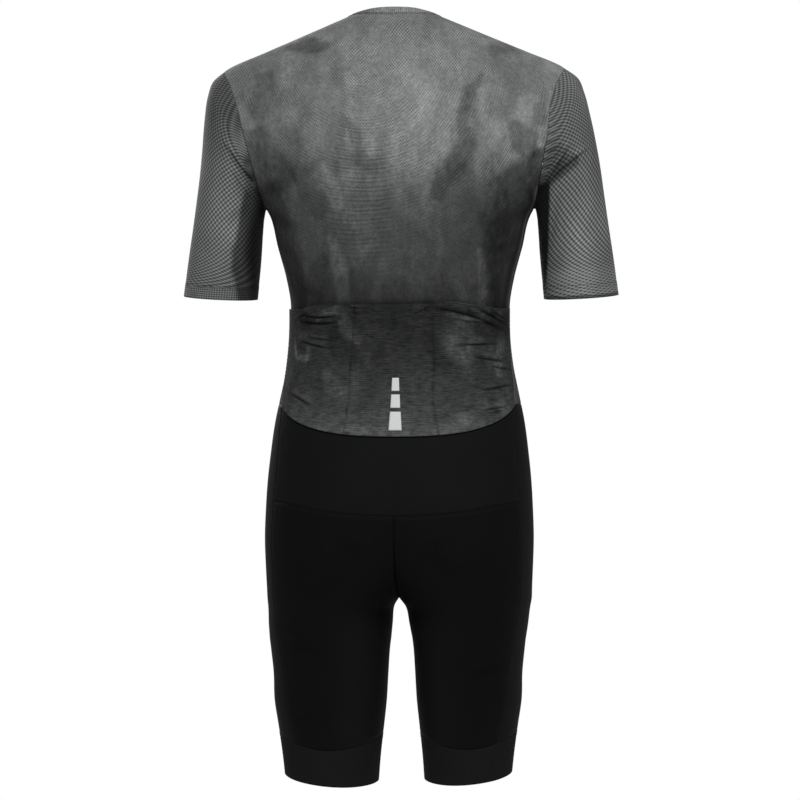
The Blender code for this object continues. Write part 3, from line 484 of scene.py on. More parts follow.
# ---------------- folds
EDGE_ON, FACE_ON = -0.15, 0.25  # a normal's share towards a side, where folds there begin and are whole
FOLD_END = 0.7  # how blunt a fold's ends are
FOLD_REACH = 2.2  # half widths
SHARP_GROOVE, SOFT_GROOVE = 0.8, 0.9  # how far below the ridge a groove runs, in half widths
# painted shade in creases and grooves, and a painted highlight along ridges, in halvings and doublings
CREASE_SHADE_STOPS, RIDGE_HIGHLIGHT_STOPS, GROOVE_SHADE_STOPS = 1.7, 0.35, 0.3
FULL_FOLD = 0.0012  # the height from which a fold is shaded in full


class View(Enum):
    """The side of the suit that a fold or a patch of print is on."""

    BACK = 1
    FRONT = -1

    def faces(self, outward: Array) -> Array:
        """How much each normal faces this side, from 0 to 1."""
        return step(EDGE_ON, FACE_ON, self.value * outward[..., 1])


@dataclass(frozen=True)
class Fold:
    """A soft fold along a sagging line, placed as it is seen from behind or in front.

    Attributes:
        x0, z0: Where it starts.
        x1, z1: Where it ends.
        width: Half its width.
        height: How far it stands up, or less than 0 for a groove.
        sag: How far its middle hangs below the straight line.
        crease: Half the width of the groove on its lower side where that is sharp, or 0 if it is soft.
        pinch: How deep that groove is, as a share of its height.
        view: The side of the suit that it is on.
    """

    x0: float
    z0: float
    x1: float
    z1: float
    width: float
    height: float
    sag: float
    crease: float = 0.0
    pinch: float = 0.0
    view: View = View.BACK

    def forms(self, points: Array, outward: Array) -> Pair:
        """How far up the fold's ridge and how deep in its groove each point is, from 0 to 1."""
        line = np.array((self.x1 - self.x0, self.z1 - self.z0))
        flat = points[..., [0, 2]] - (self.x0, self.z0)
        along = flat @ line / (line @ line)
        t = np.clip(along, 0, 1)
        arch = np.sin(np.pi * t)
        off = flat - line * t[..., None] + self.sag * arch[..., None] * np.array((0.0, 1.0))
        side = (line[0] * off[..., 1] - line[1] * off[..., 0]) / np.linalg.norm(line)
        side *= np.copysign(1.0, line[0])
        apart = length_of(off) / self.width
        ridge = 1 - ease(np.minimum(1, apart))
        sharp = self.crease > 0
        below = (side + SHARP_GROOVE * self.width) / self.crease if sharp else side / self.width + SOFT_GROOVE
        valley = 1 - ease(np.minimum(1, np.abs(below)))
        there = (along > 0) & (along < 1) & (apart < FOLD_REACH)
        reach = there * arch**FOLD_END * self.view.faces(outward)
        return ridge * reach, valley * reach

    def lift(self, points: Array, outward: Array) -> Array:
        """How far the fold moves each point out."""
        ridge, valley = self.forms(points, outward)
        return self.height * (ridge - self.pinch * valley)

    def stops_at(self, points: Array, outward: Array) -> Array:
        """How much darker the painted shade makes the cloth in the crease, where light hardly reaches, in
        halvings below 0, and how much lighter the painted highlight makes it along the ridge."""
        ridge, valley = self.forms(points, outward)
        strength = min(1.0, abs(self.height) / FULL_FOLD)
        if self.crease:
            return strength * (RIDGE_HIGHLIGHT_STOPS * ridge - CREASE_SHADE_STOPS * valley)
        return -strength * GROOVE_SHADE_STOPS * valley


def folds_on(view: View, *rows: Sequence[float]) -> tuple[Fold, ...]:
    """Folds on one side, as it stands: their pinch, and then their ends, half width, height, sag and
    crease in millimetres."""
    return tuple(
        Fold(*(size / PER_METRE for size in sizes), pinch=pinch, view=view) for pinch, *sizes in rows
    )


# ---------------- cloth
@dataclass
class Cloth:
    """One cloth piece, as rows and columns of points on its surface.

    Attributes:
        name: The piece's name.
        points: Its outer points.
        outward: The way out at each point.
        pattern: Two coordinates of the knit at each point, in metres unless the piece sets others.
        tone: The lightness of its colour at each point, with painted shade and painted highlights added in
            places.
        wear: How rubbed the cloth is at each point, or how open its mesh, from 0 to 1.
        wall: Its thickness.
        closed: Whether its first and last columns are sewn together.
    """

    name: str
    points: Array
    outward: Array
    pattern: Array = field(init=False)
    tone: Array = field(init=False)
    wear: Array = field(init=False)
    wall: float = WALL
    closed: bool = False

    def __post_init__(self) -> None:
        """Measures the knit along the rows from the middle, and up the columns."""
        along = run(self.points, 1)
        self.pattern = np.stack((along - along[:, [along.shape[1] // 2]], run(self.points, 0)), axis=-1)
        self.tone, self.wear = np.ones(along.shape), np.zeros(along.shape)

    @classmethod
    def on(
        cls,
        name: str,
        surface: Surface,
        domain: Callable[[Array, Array], Pair],
        columns: int,
        rows: int,
        finer: tuple[int, int] = (FINER, FINER),
        **kinds: object,
    ) -> "Cloth":
        """A piece on a surface.

        Args:
            name: The piece's name.
            surface: The surface's point function.
            domain: Gives the surface's parameters at a column and a row of the coarse grid.
            columns: Coarse columns.
            rows: Coarse rows.
            finer: Fine columns, and fine rows, to each coarse one.
            **kinds: The wall, and whether the piece is closed.

        Returns:
            The piece.
        """
        column, row = np.meshgrid(
            np.linspace(0, columns, columns * finer[0] + 1), np.linspace(0, rows, rows * finer[1] + 1)
        )
        u, v = domain(column, row)
        return cls(name, surface(u, v), outward_of(surface, u, v), **kinds)

    def mirrored(self, name: str) -> "Cloth":
        """The same piece on the wearer's right."""
        flip = np.array((-1.0, 1.0, 1.0))
        points, outward = self.points[:, ::-1] * flip, self.outward[:, ::-1] * flip
        other = replace(self, name=name, points=points, outward=outward)
        other.pattern = self.pattern[:, ::-1] * (-1.0, 1.0)
        other.tone, other.wear = self.tone[:, ::-1].copy(), self.wear[:, ::-1].copy()
        return other

    def lift(self, height: Array) -> "Cloth":
        """Moves each point out by a height."""
        self.points = self.points + self.outward * np.asarray(height)[..., None]
        return self

    def fold(self, folds: Sequence[Fold]) -> "Cloth":
        """Adds folds, and paints shade into their creases and grooves and a highlight along their ridges."""
        seen = stance(self.points), self.outward
        none = np.zeros(self.tone.shape)
        self.tone = self.tone * 2 ** sum((fold.stops_at(*seen) for fold in folds), none)
        return self.lift(sum((fold.lift(*seen) for fold in folds), none))

    def line(self, columns: Array, rows: Array) -> "Line":
        """The line through some columns and rows of the fine grid, which may fall between them."""
        columns, rows = paired(columns, rows)
        c = np.clip(columns.astype(int), 0, self.points.shape[1] - 2)
        r = np.clip(rows.astype(int), 0, self.points.shape[0] - 2)
        u, v = (columns - c)[:, None], (rows - r)[:, None]
        both = (
            mix(mix(grid[r, c], grid[r, c + 1], u), mix(grid[r + 1, c], grid[r + 1, c + 1], u), v)
            for grid in (stance(self.points), self.outward)
        )
        return Line(*both)

    def sink_edges(self, sewn: str = "left right low high", depth: float = 0.0004) -> "Cloth":
        """Draws the sewn edges in, so that each seam lies in a shallow groove."""
        edges = {"left": np.s_[:, 0], "right": np.s_[:, -1], "low": np.s_[0], "high": np.s_[-1]}
        dip = np.zeros(self.points.shape[:2])
        for edge in sewn.split():
            dip[edges[edge]] = depth
        return self.lift(-dip)

    def cut(self) -> tuple[tuple[float, float], float]:
        """The width and length it is cut to, and the area of the cut, before it is stretched."""
        a = self.points[1:, 1:] - self.points[:-1, :-1]
        b = self.points[1:, :-1] - self.points[:-1, 1:]
        area = float(length_of(np.cross(a, b)).sum() / 2)
        flat = (float(run(self.points, 1).max()) / KNIT_STRETCH, float(run(self.points, 0).max()))
        return flat, min(area / KNIT_STRETCH, flat[0] * flat[1])

    def build(self, finish: Material, slot: str, rests_on: Sequence[str]) -> None:
        """Makes the piece, whose wall is a modifier, and attaches it to the suit's body.

        Args:
            finish: Its material.
            slot: Its slot name, which is not used.
            rests_on: The pieces that it lies on or hangs from, which are not used.
        """
        standing = stance(self.points)
        right, up = standing[0, 1] - standing[0, 0], standing[1, 0] - standing[0, 0]
        shape = grid_shape(standing, self.pattern.reshape(-1, 2))
        for name, values in (("tone", self.tone.ravel()), ("wear", self.wear.ravel())):
            layer = shape.verts.layers.float.new(name)
            for number, vert in enumerate(shape.verts):
                vert[layer] = values[number]
        if self.closed:
            bmesh.ops.remove_doubles(shape, verts=shape.verts[:], dist=SAME_PLACE)
        if np.dot(np.cross(right, up), self.outward[0, 0]) < 0:
            bmesh.ops.reverse_faces(shape, faces=shape.faces[:])
        made = new_object(self.name + "_cloth", shape, finish)
        add_wall(made, self.wall)
        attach(made, SUIT_BODY)
        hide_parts(self.name)
        flat, area = self.cut()
        LOG.info("%s: cut %.0f x %.0f mm", self.name, flat[0] * PER_METRE, flat[1] * PER_METRE)


def grid_shape(points: Array, knit: Array | None = None) -> bmesh.types.BMesh:
    """A grid through rows and columns of points, and the knit's coordinates at each if it has any."""
    shape = bmesh.new()
    rows, columns = points.shape[:2]
    bmesh.ops.create_grid(shape, x_segments=columns - 1, y_segments=rows - 1, size=1)
    for vert, place in zip(shape.verts, points.reshape(-1, 3)):
        vert.co = place
    if knit is not None:
        uv = shape.loops.layers.uv.new("knit")
        for face in shape.faces:
            for loop in face.loops:
                loop[uv].uv = knit[loop.vert.index]
    return shape


def add_wall(made: Object, thickness: float) -> None:
    """Thickens a surface inwards."""
    wall = made.modifiers.new("wall", "SOLIDIFY")
    wall.thickness, wall.offset = thickness, -1


def in_scene(name: str, data: bpy.types.ID) -> Object:
    """An object with this data, in the scene."""
    made = bpy.data.objects.new(name, data)
    bpy.context.scene.collection.objects.link(made)
    return made


def smooth_object(name: str, mesh: bpy.types.Mesh, finish: Material) -> Object:
    """A smooth object with one material, in the scene."""
    mesh.shade_smooth()
    mesh.materials.append(finish)
    return in_scene(name, mesh)


def new_object(name: str, shape: bmesh.types.BMesh, finish: Material) -> Object:
    """A smooth object made from a bmesh."""
    mesh = bpy.data.meshes.new(name)
    shape.to_mesh(mesh)
    shape.free()
    return smooth_object(name, mesh, finish)


def repeated(name: str, seed: bmesh.types.BMesh, places: Sequence[Matrix], finish: Material) -> Object:
    """One object with a copy of a small shape, the seed, at each of many places."""
    corners = np.array([(*vert.co, 1.0) for vert in seed.verts])
    faces = [[vert.index for vert in face.verts] for face in seed.faces]
    seed.free()
    spread = (np.array(places)[:, :3] @ corners.T).transpose(0, 2, 1).reshape(-1, 3)
    mesh = bpy.data.meshes.new(name)
    starts = range(0, len(spread), len(corners))
    mesh.from_pydata(spread, [], [[start + i for i in face] for start in starts for face in faces])
    return smooth_object(name, mesh, finish)


# ---------------- shader maths
def by_node(operation: str) -> Callable[["Value", "Value | float"], "Value"]:
    """One of Python's operators, done by a Math node."""
    return lambda value, other: value.math(operation, other)


class Value:
    """A socket of a material's nodes, with Python's operators for numbers."""

    def __init__(self, tree: "Tree", socket: bpy.types.NodeSocket) -> None:
        """Wraps a socket."""
        self.tree = tree
        self.socket = socket

    def math(self, operation: str, *others: "Value | float") -> "Value":
        """A Math node on this value and others."""
        return self.tree.node("ShaderNodeMath", {"operation": operation}, dict(enumerate((self, *others))))

    __add__ = __radd__ = by_node("ADD")
    __sub__ = by_node("SUBTRACT")
    __mul__ = __rmul__ = by_node("MULTIPLY")
    __truediv__ = by_node("DIVIDE")

    def __rsub__(self, other: float) -> "Value":
        """The difference from a number."""
        return self * -1.0 + other

    def wave(self) -> "Value":
        """The cosine of this many turns."""
        return (self * (2 * math.pi)).math("COSINE")

    def between(self, low: float, high: float) -> "Value":
        """0 below low, 1 above high, and a soft rise between them."""
        inputs = {"Value": self, "From Min": low, "From Max": high}
        return self.tree.node("ShaderNodeMapRange", {"interpolation_type": "SMOOTHSTEP"}, inputs)

    def colour(self, tint: Sequence[float]) -> "Value":
        """A tint made this light."""
        return self.tree.node("ShaderNodeVectorMath", {"operation": "SCALE"}, {0: tint, "Scale": self})


class Tree:
    """The nodes of one material."""

    def __init__(self, name: str) -> None:
        """Makes a material with a Principled shader."""
        self.material = bpy.data.materials.new(name)
        self.material.use_nodes = True
        self.nodes = self.material.node_tree.nodes
        self.links = self.material.node_tree.links
        self.shader = self.nodes["Principled BSDF"]

    def node(
        self, kind: str, settings: dict[str, object], inputs: dict[int | str, object], output: int | str = 0
    ) -> Value:
        """Adds a node.

        Args:
            kind: The node's type.
            settings: Its own settings.
            inputs: What each input holds or is linked to, by number or name.
            output: The output to use.

        Returns:
            That output.
        """
        made = self.nodes.new(kind)
        for name, value in settings.items():
            setattr(made, name, value)
        for key, value in inputs.items():
            self.feed(made.inputs[key], value)
        return Value(self, made.outputs[output])

    def feed(self, socket: bpy.types.NodeSocket, value: object) -> None:
        """Links a value to a socket, or sets it."""
        if isinstance(value, Value):
            self.links.new(value.socket, socket)
        else:
            socket.default_value = value

    def attribute(self, name: str) -> Value:
        """A number kept at the piece's points."""
        return self.node("ShaderNodeAttribute", {"attribute_name": name}, {}, "Fac")

    def knit(self) -> tuple[Value, Value]:
        """The piece's two pattern coordinates."""
        uv = self.node("ShaderNodeUVMap", {"uv_map": "knit"}, {})
        return (
            self.node("ShaderNodeSeparateXYZ", {}, {0: uv}, "X"),
            self.node("ShaderNodeSeparateXYZ", {}, {0: uv}, "Y"),
        )

    def place(self) -> Value:
        """The object's own coordinates."""
        return self.node("ShaderNodeTexCoord", {}, {}, "Object")

    def drawn_out(self, scale: Place = (1, 1, 0.5)) -> Value:
        """The object's own coordinates, scaled: patches are twice as tall as wide, or as it says."""
        return self.node("ShaderNodeVectorMath", {"operation": "MULTIPLY"}, {0: self.place(), 1: scale})

    def cloud(self, size: float, detail: float = 3.0, where: Value | None = None) -> Value:
        """Noise from 0 to 1 whose patches are about that many metres wide."""
        inputs = {"Vector": where or self.place(), "Scale": 1 / size, "Detail": detail}
        return self.node("ShaderNodeTexNoise", {"noise_dimensions": "3D"}, inputs, "Fac")

    def bump(self, height: Value, distance: float, strength: float) -> None:
        """Turns a height from 0 to 1 into relief."""
        inputs = {"Height": height, "Distance": distance, "Strength": strength}
        self.feed(self.shader.inputs["Normal"], self.node("ShaderNodeBump", {}, inputs))

    def surface(
        self, shade: Value, tint: Sequence[float], rough: Value | float, gloss: float, **others: float
    ) -> Material:
        """Sets the colour, the roughness, the gloss and other sockets, and gives the material."""
        values = {"Base_Color": shade.colour(tint), "Roughness": rough, "Specular_IOR_Level": gloss}
        for name, value in (values | others).items():
            self.feed(self.shader.inputs[name.replace("_", " ")], value)
        return self.material


# ---------------- finishes
GREY_TINT = (0.965, 1.0, 0.985)
BLACK_TINT = (0.98, 1.0, 1.02)
FILM_TINT = (0.99, 1.0, 1.0)
HARD_TINT = (1.0, 1.0, 1.02)
PAPER_TINT = (1.0, 1.0, 1.0)


@dataclass(frozen=True)
class PrintedKnit:
    """Light stretch knit with pinholes in slanting rows, printed in cloudy greys."""

    across: float = 0.00345
    along: float = 0.0044
    pinhole: float = 0.54  # how strong the holes show, and then the clouds, the grain and the mottling
    wash: float = 0.30
    grain: float = 0.85
    mottling: float = 0.55
    course: float = 0.0037  # the spacing of the bowed courses, and the middle of their bows
    bow_middle: tuple[float, float] = (-0.036, -0.055)

    def material(self) -> Material:
        """The material."""
        tree = Tree("printed_knit")
        u, v = tree.knit()
        drift = (tree.cloud(0.09, 2.0) - 0.5) * 0.020
        holes = ((u + drift) / self.across).wave() * ((v - drift) / self.along).wave()
        patches = tree.cloud(0.022, 2.0).between(0.30, 0.70)
        clear = (patches * 0.95 + 0.20) * (v.between(-0.30, -0.19) * 0.55 + 0.45)
        # The courses hang in bows below the neck, level in the middle.
        aside, down = u - self.bow_middle[0], v - self.bow_middle[1]
        bow = (aside * aside + down * down).math("SQRT") + drift * 0.4
        bowed = (1.0 - v.between(-0.12, -0.06)) * v.between(-0.34, -0.27)
        courses = (bow / self.course).wave() * bowed * clear
        middle = (1.0 - aside.math("ABSOLUTE").between(0.015, 0.065)) * (1.0 - v.between(-0.18, -0.12))
        bands = (bow / (self.course * 1.45)).wave() * bowed * middle
        fine = tree.cloud(0.0026, 2.0)
        mottle = tree.cloud(0.0055, 3.0)
        wide = tree.cloud(0.016, 4.0, tree.drawn_out())
        shade = tree.attribute("tone") * (
            1.0 + holes * clear * self.pinhole * (1.0 - bowed * 0.45)
            + courses * 0.16 + bands * tree.cloud(0.03, 2.0) * 0.28
            + (wide - 0.5) * self.wash + (fine - 0.5) * self.grain + (mottle - 0.5) * self.mottling
        )
        tree.bump(holes * 0.5 + fine * 0.3, 0.00025, 0.7)
        rough = tree.cloud(0.03) * 0.1 + 0.8
        return tree.surface(shade, GREY_TINT, rough, 0.12, Sheen_Weight=0.02, Sheen_Roughness=0.6)


@dataclass(frozen=True)
class SleeveMesh:
    """Relief mesh: light cells in rows between dark lines. The pattern counts cells and rows, and
    where the mesh is open it is light with dark holes."""

    dark: float = 0.24
    rows: float = 0.28
    columns: float = 0.22
    low: float = 0.22
    high: float = 0.86

    def material(self) -> Material:
        """The material."""
        tree = Tree("sleeve_mesh")
        u, v = tree.knit()
        cell = v.wave() * self.rows + u.wave() * self.columns + 0.5 + tree.attribute("wear") * 0.16
        light = cell.between(self.low, self.high)
        fine = tree.cloud(0.0028, 2.0)
        lit = light * (1.0 - self.dark) + self.dark + (fine - 0.5) * 0.22
        shade = tree.attribute("tone") * lit * (tree.cloud(0.03, 3.0) * 0.3 + 0.85)
        tree.bump(light + fine * 0.2, 0.0004, 0.8)
        return tree.surface(shade, GREY_TINT, 0.78, 0.15, Sheen_Weight=0.02)


@dataclass(frozen=True)
class RibKnit:
    """Knit with fine ribs along one of its two directions."""

    name: str
    pitch: float
    upright: bool
    depth: float
    contrast: float
    wash: float
    streak: float

    def material(self) -> Material:
        """The material."""
        tree = Tree(self.name)
        u, v = tree.knit()
        rib = (u if self.upright else v) / self.pitch
        loops = (v if self.upright else u) / (self.pitch * 0.8)
        wobble = tree.cloud(0.012, 2.0) * 0.5
        ribs = (rib + wobble).wave() * (tree.cloud(0.018, 2.0).between(0.3, 0.7) + 0.3)
        fine = tree.cloud(0.0028, 2.0)
        long = (1, 1, 0.25) if self.upright else (0.25, 0.25, 1)
        streaks = tree.cloud(self.pitch * 0.9, 2.0, tree.drawn_out(long))
        shade = tree.attribute("tone") * (
            1.0 + ribs * (self.contrast / 2) + ribs * loops.wave() * (self.contrast / 3)
            + (tree.cloud(0.02, 4.0, tree.drawn_out()) - 0.5) * self.wash
            + (fine - 0.5) * 0.7 + (streaks - 0.5) * self.streak
        )
        tree.bump(ribs * 0.5 + fine * 0.25, self.depth, 0.7)
        return tree.surface(shade, GREY_TINT, 0.85, 0.08, Sheen_Weight=0.01)


@dataclass(frozen=True)
class BlackKnit:
    """Smooth dark stretch knit, with the grain of its loops."""

    name: str
    light: float
    rough: float
    gloss: float
    grain: float = 0.0011
    relief: float = 0.12

    def material(self) -> Material:
        """The material."""
        tree = Tree(self.name)
        u, v = tree.knit()
        loops = (u / self.grain).wave() * (v / (self.grain * 1.6)).wave()
        cloud = tree.cloud(0.05, 4.0)
        fine = tree.cloud(0.002, 2.0)
        shade = tree.attribute("tone") * self.light * (
            0.75 + cloud * 0.3 + fine * 0.2 + loops * self.relief
        )
        tree.bump(loops * 0.5 + fine * 0.3, 0.00012, 0.6)
        return tree.surface(shade, BLACK_TINT, cloud * 0.12 + self.rough, self.gloss)


@dataclass(frozen=True)
class Elastic:
    """Black elastic with fine ribs across it."""

    light: float = 0.0105
    pitch: float = 0.0021

    def material(self) -> Material:
        """The material."""
        tree = Tree("leg_elastic")
        u, v = tree.knit()
        ribs = (v / self.pitch).wave()
        warp = (u / (self.pitch * 0.6)).wave()
        fine = tree.cloud(0.003, 2.0)
        shade = tree.attribute("tone") * self.light * (0.8 + ribs * 0.14 + warp * 0.06 + fine * 0.35)
        tree.bump(ribs * 0.5 + warp * 0.2, 0.00018, 0.7)
        return tree.surface(shade, BLACK_TINT, 0.8, 0.03)


@dataclass(frozen=True)
class Thread:
    """Sewing thread, with the twist of its plies."""

    name: str
    light: float

    def material(self) -> Material:
        """The material."""
        tree = Tree(self.name)
        fine = tree.cloud(0.0012, 2.0)
        tree.bump(fine, 0.0001, 0.5)
        shade = (fine * 0.5 + 0.75) * self.light
        return tree.surface(shade, GREY_TINT, 0.6, 0.2)


@dataclass(frozen=True)
class Reflective:
    """Silver transfer film of tiny glass beads, on cloth."""

    light: float = 0.62

    def material(self) -> Material:
        """The material."""
        tree = Tree("reflective_film")
        beads = tree.cloud(0.0012, 2.0)
        creases = tree.cloud(0.006, 3.0)
        shade = (beads * 0.14 + creases * 0.16 + 0.85) * self.light
        tree.bump(beads * 0.4 + creases, 0.0001, 0.5)
        return tree.surface(shade, FILM_TINT, 0.45, 0.4)


@dataclass(frozen=True)
class Hard:
    """Moulded plastic or painted metal, rubbed lighter in patches."""

    name: str
    light: float
    rough: float
    metal: float

    def material(self) -> Material:
        """The material."""
        tree = Tree(self.name)
        rub = tree.cloud(0.004, 4.0)
        grain = tree.cloud(0.0006, 2.0)
        tree.bump(grain, 0.00004, 0.4)
        shade = (rub.between(0.45, 0.75) * 0.5 + grain * 0.2 + 0.8) * self.light
        return tree.surface(shade, HARD_TINT, rub * 0.2 + self.rough, 0.4, Metallic=self.metal)


# ---------------- panel outlines
ARMHOLE_STEP = (math.pi - PIT_ANGLE) / ARMHOLE_ROWS
PIT_ROW = POCKET_ZONE_ROWS + CHEST_ZONE_ROWS
TIP_ROW = PIT_ROW + ARMHOLE_ROWS
TORSO_ROWS = TIP_ROW + SHOULDER_ROWS
ZONE_ROWS = (0, POCKET_ZONE_ROWS, PIT_ROW, TIP_ROW)
# Heights of the zones' ends at the middle of the back and at the zip.
BACK_MIDDLE_Z = (WAIST_BACK_Z, POCKET_TOP_BACK_Z, -0.236, -0.082)
FRONT_MIDDLE_Z = (WAIST_FRONT_Z, -0.354, -0.240, -0.112)
SHORTS = np.array(SHORTS_ROWS)
LEG_COLUMNS = FRONT_COLUMNS + SIDE_COLUMNS + HALF_BACK_COLUMNS
SLEEVE_ANGLES = (
    [i * ARMHOLE_STEP for i in range(ARMHOLE_ROWS)]
    + [math.pi + share * PIT_ANGLE for share in (-1.0, -0.5, 0.0, 0.5, 1.0)]
    + [2 * math.pi - i * ARMHOLE_STEP for i in reversed(range(ARMHOLE_ROWS))]
)


class Outline:
    """Where the columns and rows of each panel lie on its surface.

    Every method takes arrays of columns and rows of the coarse grid, and returns the surface's two
    parameters there. Panels that meet share the lines they meet on.
    """

    @staticmethod
    def torso_side(row: Array, back: bool) -> Pair:
        """The edge of the back or front: up the side seam and round the armhole."""
        row = np.minimum(row, TIP_ROW)
        angle = (TIP_ROW - row) * ARMHOLE_STEP
        hole_turn, hole_z = Body.armhole(-angle if back else angle)
        z = np.interp(row, ZONE_ROWS[:3], (WAIST_SIDE_Z, POCKET_TOP_SIDE_Z, PIT_SEAM_Z))
        in_hole = row > PIT_ROW
        return np.where(in_hole, hole_turn, Body.side_seam(z, back)), np.where(in_hole, hole_z, z)

    @staticmethod
    def up_shoulder(turn: Array, z: Array, neck: Pair, row: Array) -> Pair:
        """A column above the shoulder tip's row, on its way to the neck."""
        share = np.maximum(0.0, (row - TIP_ROW) / SHOULDER_ROWS)
        return mix(turn, neck[0], share), mix(z, neck[1], share)

    @classmethod
    def back(cls, column: Array, row: Array) -> Pair:
        """The back, from the left side seam, by the middle, to the right one."""
        off = (column - HALF_BACK_COLUMNS) / HALF_BACK_COLUMNS
        side_turn, side_z = cls.torso_side(row, True)
        arch = waist_arch(abs(off), row / POCKET_ZONE_ROWS)
        z = mix(np.interp(row, ZONE_ROWS, BACK_MIDDLE_Z), side_z, arch)
        turn, z = cls.up_shoulder(mix(1.0, side_turn, abs(off)), z, Body.neck_edge(1 - abs(off)), row)
        return np.where(off <= 0, turn, 2 - turn), z

    @classmethod
    def front(cls, column: Array, row: Array) -> Pair:
        """The left front, from the zip to the side seam."""
        share = column / FRONT_COLUMNS
        side_turn, side_z = cls.torso_side(row, False)
        edge_z = np.interp(row, ZONE_ROWS, FRONT_MIDDLE_Z)
        turn, z = mix(Body.zip_turn(edge_z), side_turn, share), mix(edge_z, side_z, ease(share))
        return cls.up_shoulder(turn, z, Body.neck_edge(share - 1), row)

    @classmethod
    def side(cls, column: Array, row: Array) -> Pair:
        """The left side panel, from the front seam to the back seam."""
        share = column / SIDE_COLUMNS
        (front_turn, z), (back_turn, _) = cls.torso_side(row, False), cls.torso_side(row, True)
        pit_turn, pit_z = Body.armhole(math.pi + (2 * share - 1) * PIT_ANGLE)
        top = np.full(row.shape, float(PIT_ROW))
        level_turn = mix(cls.torso_side(top, False)[0], cls.torso_side(top, True)[0], share)
        near_pit = (row / PIT_ROW) ** 4
        turn = mix(front_turn, back_turn, share) + (pit_turn - level_turn) * near_pit
        return turn, z + (pit_z - PIT_SEAM_Z) * near_pit

    @staticmethod
    def sleeve(column: Array, row: Array) -> Pair:
        """The left sleeve, round from its outer line by the front, and up from its hem."""
        return np.interp(column, range(len(SLEEVE_ANGLES)), SLEEVE_ANGLES), 1 - row / SLEEVE_ROWS

    @staticmethod
    def collar(column: Array, row: Array) -> Pair:
        """The collar, from the zip by the left shoulder round to the zip again."""
        ends = np.cumsum((0, FRONT_COLUMNS, 2 * HALF_BACK_COLUMNS, FRONT_COLUMNS))
        return np.interp(column, ends, (-1, 0, 2, 3)), COLLAR_HEIGHT * row / 2

    @staticmethod
    def seam_turn(row: Array, back: bool) -> Array:
        """The shorts' front or back side seam."""
        return Body.side_seam(np.interp(row, range(len(SHORTS)), SHORTS[:, 0]), back)

    @classmethod
    def leg_turn(cls, column: Array, row: Array) -> Array:
        """The columns round a whole leg, from the inseam by the front."""
        front, back = cls.seam_turn(row, False), cls.seam_turn(row, True)
        on_front = mix(-1.0, front, column / FRONT_COLUMNS)
        on_side = mix(front, back, (column - FRONT_COLUMNS) / SIDE_COLUMNS)
        on_back = mix(back, 1.0, (column - FRONT_COLUMNS - SIDE_COLUMNS) / HALF_BACK_COLUMNS)
        past_side = np.where(column <= FRONT_COLUMNS + SIDE_COLUMNS, on_side, on_back)
        return np.where(column < FRONT_COLUMNS, on_front, past_side)

    @classmethod
    def shorts(cls, turn: Array, row: Array) -> Pair:
        """A turn and the height of a row of the shorts there."""
        side_z, back_z, front_z, dip = (np.interp(row, range(len(SHORTS)), SHORTS[:, k]) for k in range(4))
        back = turn > 0
        edge = np.where(back, cls.seam_turn(row, True), cls.seam_turn(row, False))
        off_side = np.maximum(0, (abs(turn) - abs(edge)) / (1 - abs(edge)))
        share = np.where(back, 1 - waist_arch(1 - off_side, row / YOKE_ROW), ease(off_side))
        z = mix(side_z, np.where(back, back_z, front_z), share)
        return turn, z - np.where(back, dip * np.sin(np.pi * turn) ** 2, 0)

    @classmethod
    def yoke(cls, column: Array, row: Array) -> Pair:
        """The seat yoke, from the left side seam to the right one, and up to the waist."""
        off = column - HALF_BACK_COLUMNS
        turn, z = cls.shorts(cls.leg_turn(LEG_COLUMNS - abs(off), YOKE_ROW - row), YOKE_ROW - row)
        return np.where(off <= 0, turn, 2 - turn), z

    @classmethod
    def leg(cls, first: int, bottom: int) -> Callable[[Array, Array], Pair]:
        """A panel of the left leg that starts at a column and goes up from a row."""
        return lambda column, row: cls.shorts(cls.leg_turn(first + column, bottom - row), bottom - row)


# ---------------- seams and threads
@dataclass
class Line:
    """A line along the cloth, as it stands, with the way out at each of its points."""

    points: Array
    outward: Array

    def length(self) -> float:
        """Its length."""
        return float(run(self.points, 0)[-1])

    def middles(self, number: int) -> Array:
        """How far along it the middles of a number of equal parts are."""
        return (np.arange(number) + 0.5) * self.length() / number

    def at(self, distance: Array) -> tuple[Array, Array, Array]:
        """The points, the ways along and the ways out at some distances along the line."""
        reach = run(self.points, 0)
        ways = np.gradient(self.points, reach, axis=0)
        points, along, out = (
            np.stack([np.interp(distance, reach, column) for column in values.T], axis=1)
            for values in (self.points, ways, self.outward)
        )
        return points, unit(along), unit(out)


def seat(across: Array, along: Array, out: Array, place: Array) -> Matrix:
    """The matrix that sets a small shape down at a place, with its three axes turned to these."""
    made = Matrix((across, along, out)).transposed().to_4x4()
    made.translation = Vector(place)
    return made


class Stitch(Enum):
    """A kind of stitching: how far each row is to the side, and the row's slanting stitches."""

    SINGLE = ((0.0, 0.0),)
    ZIGZAG = ((0.0, 0.0020),)
    TWIN = ((-0.0016, 0.0), (0.0016, 0.0))
    TACK = ((-0.0006, 0.0), (0.0, 0.0), (0.0006, 0.0))


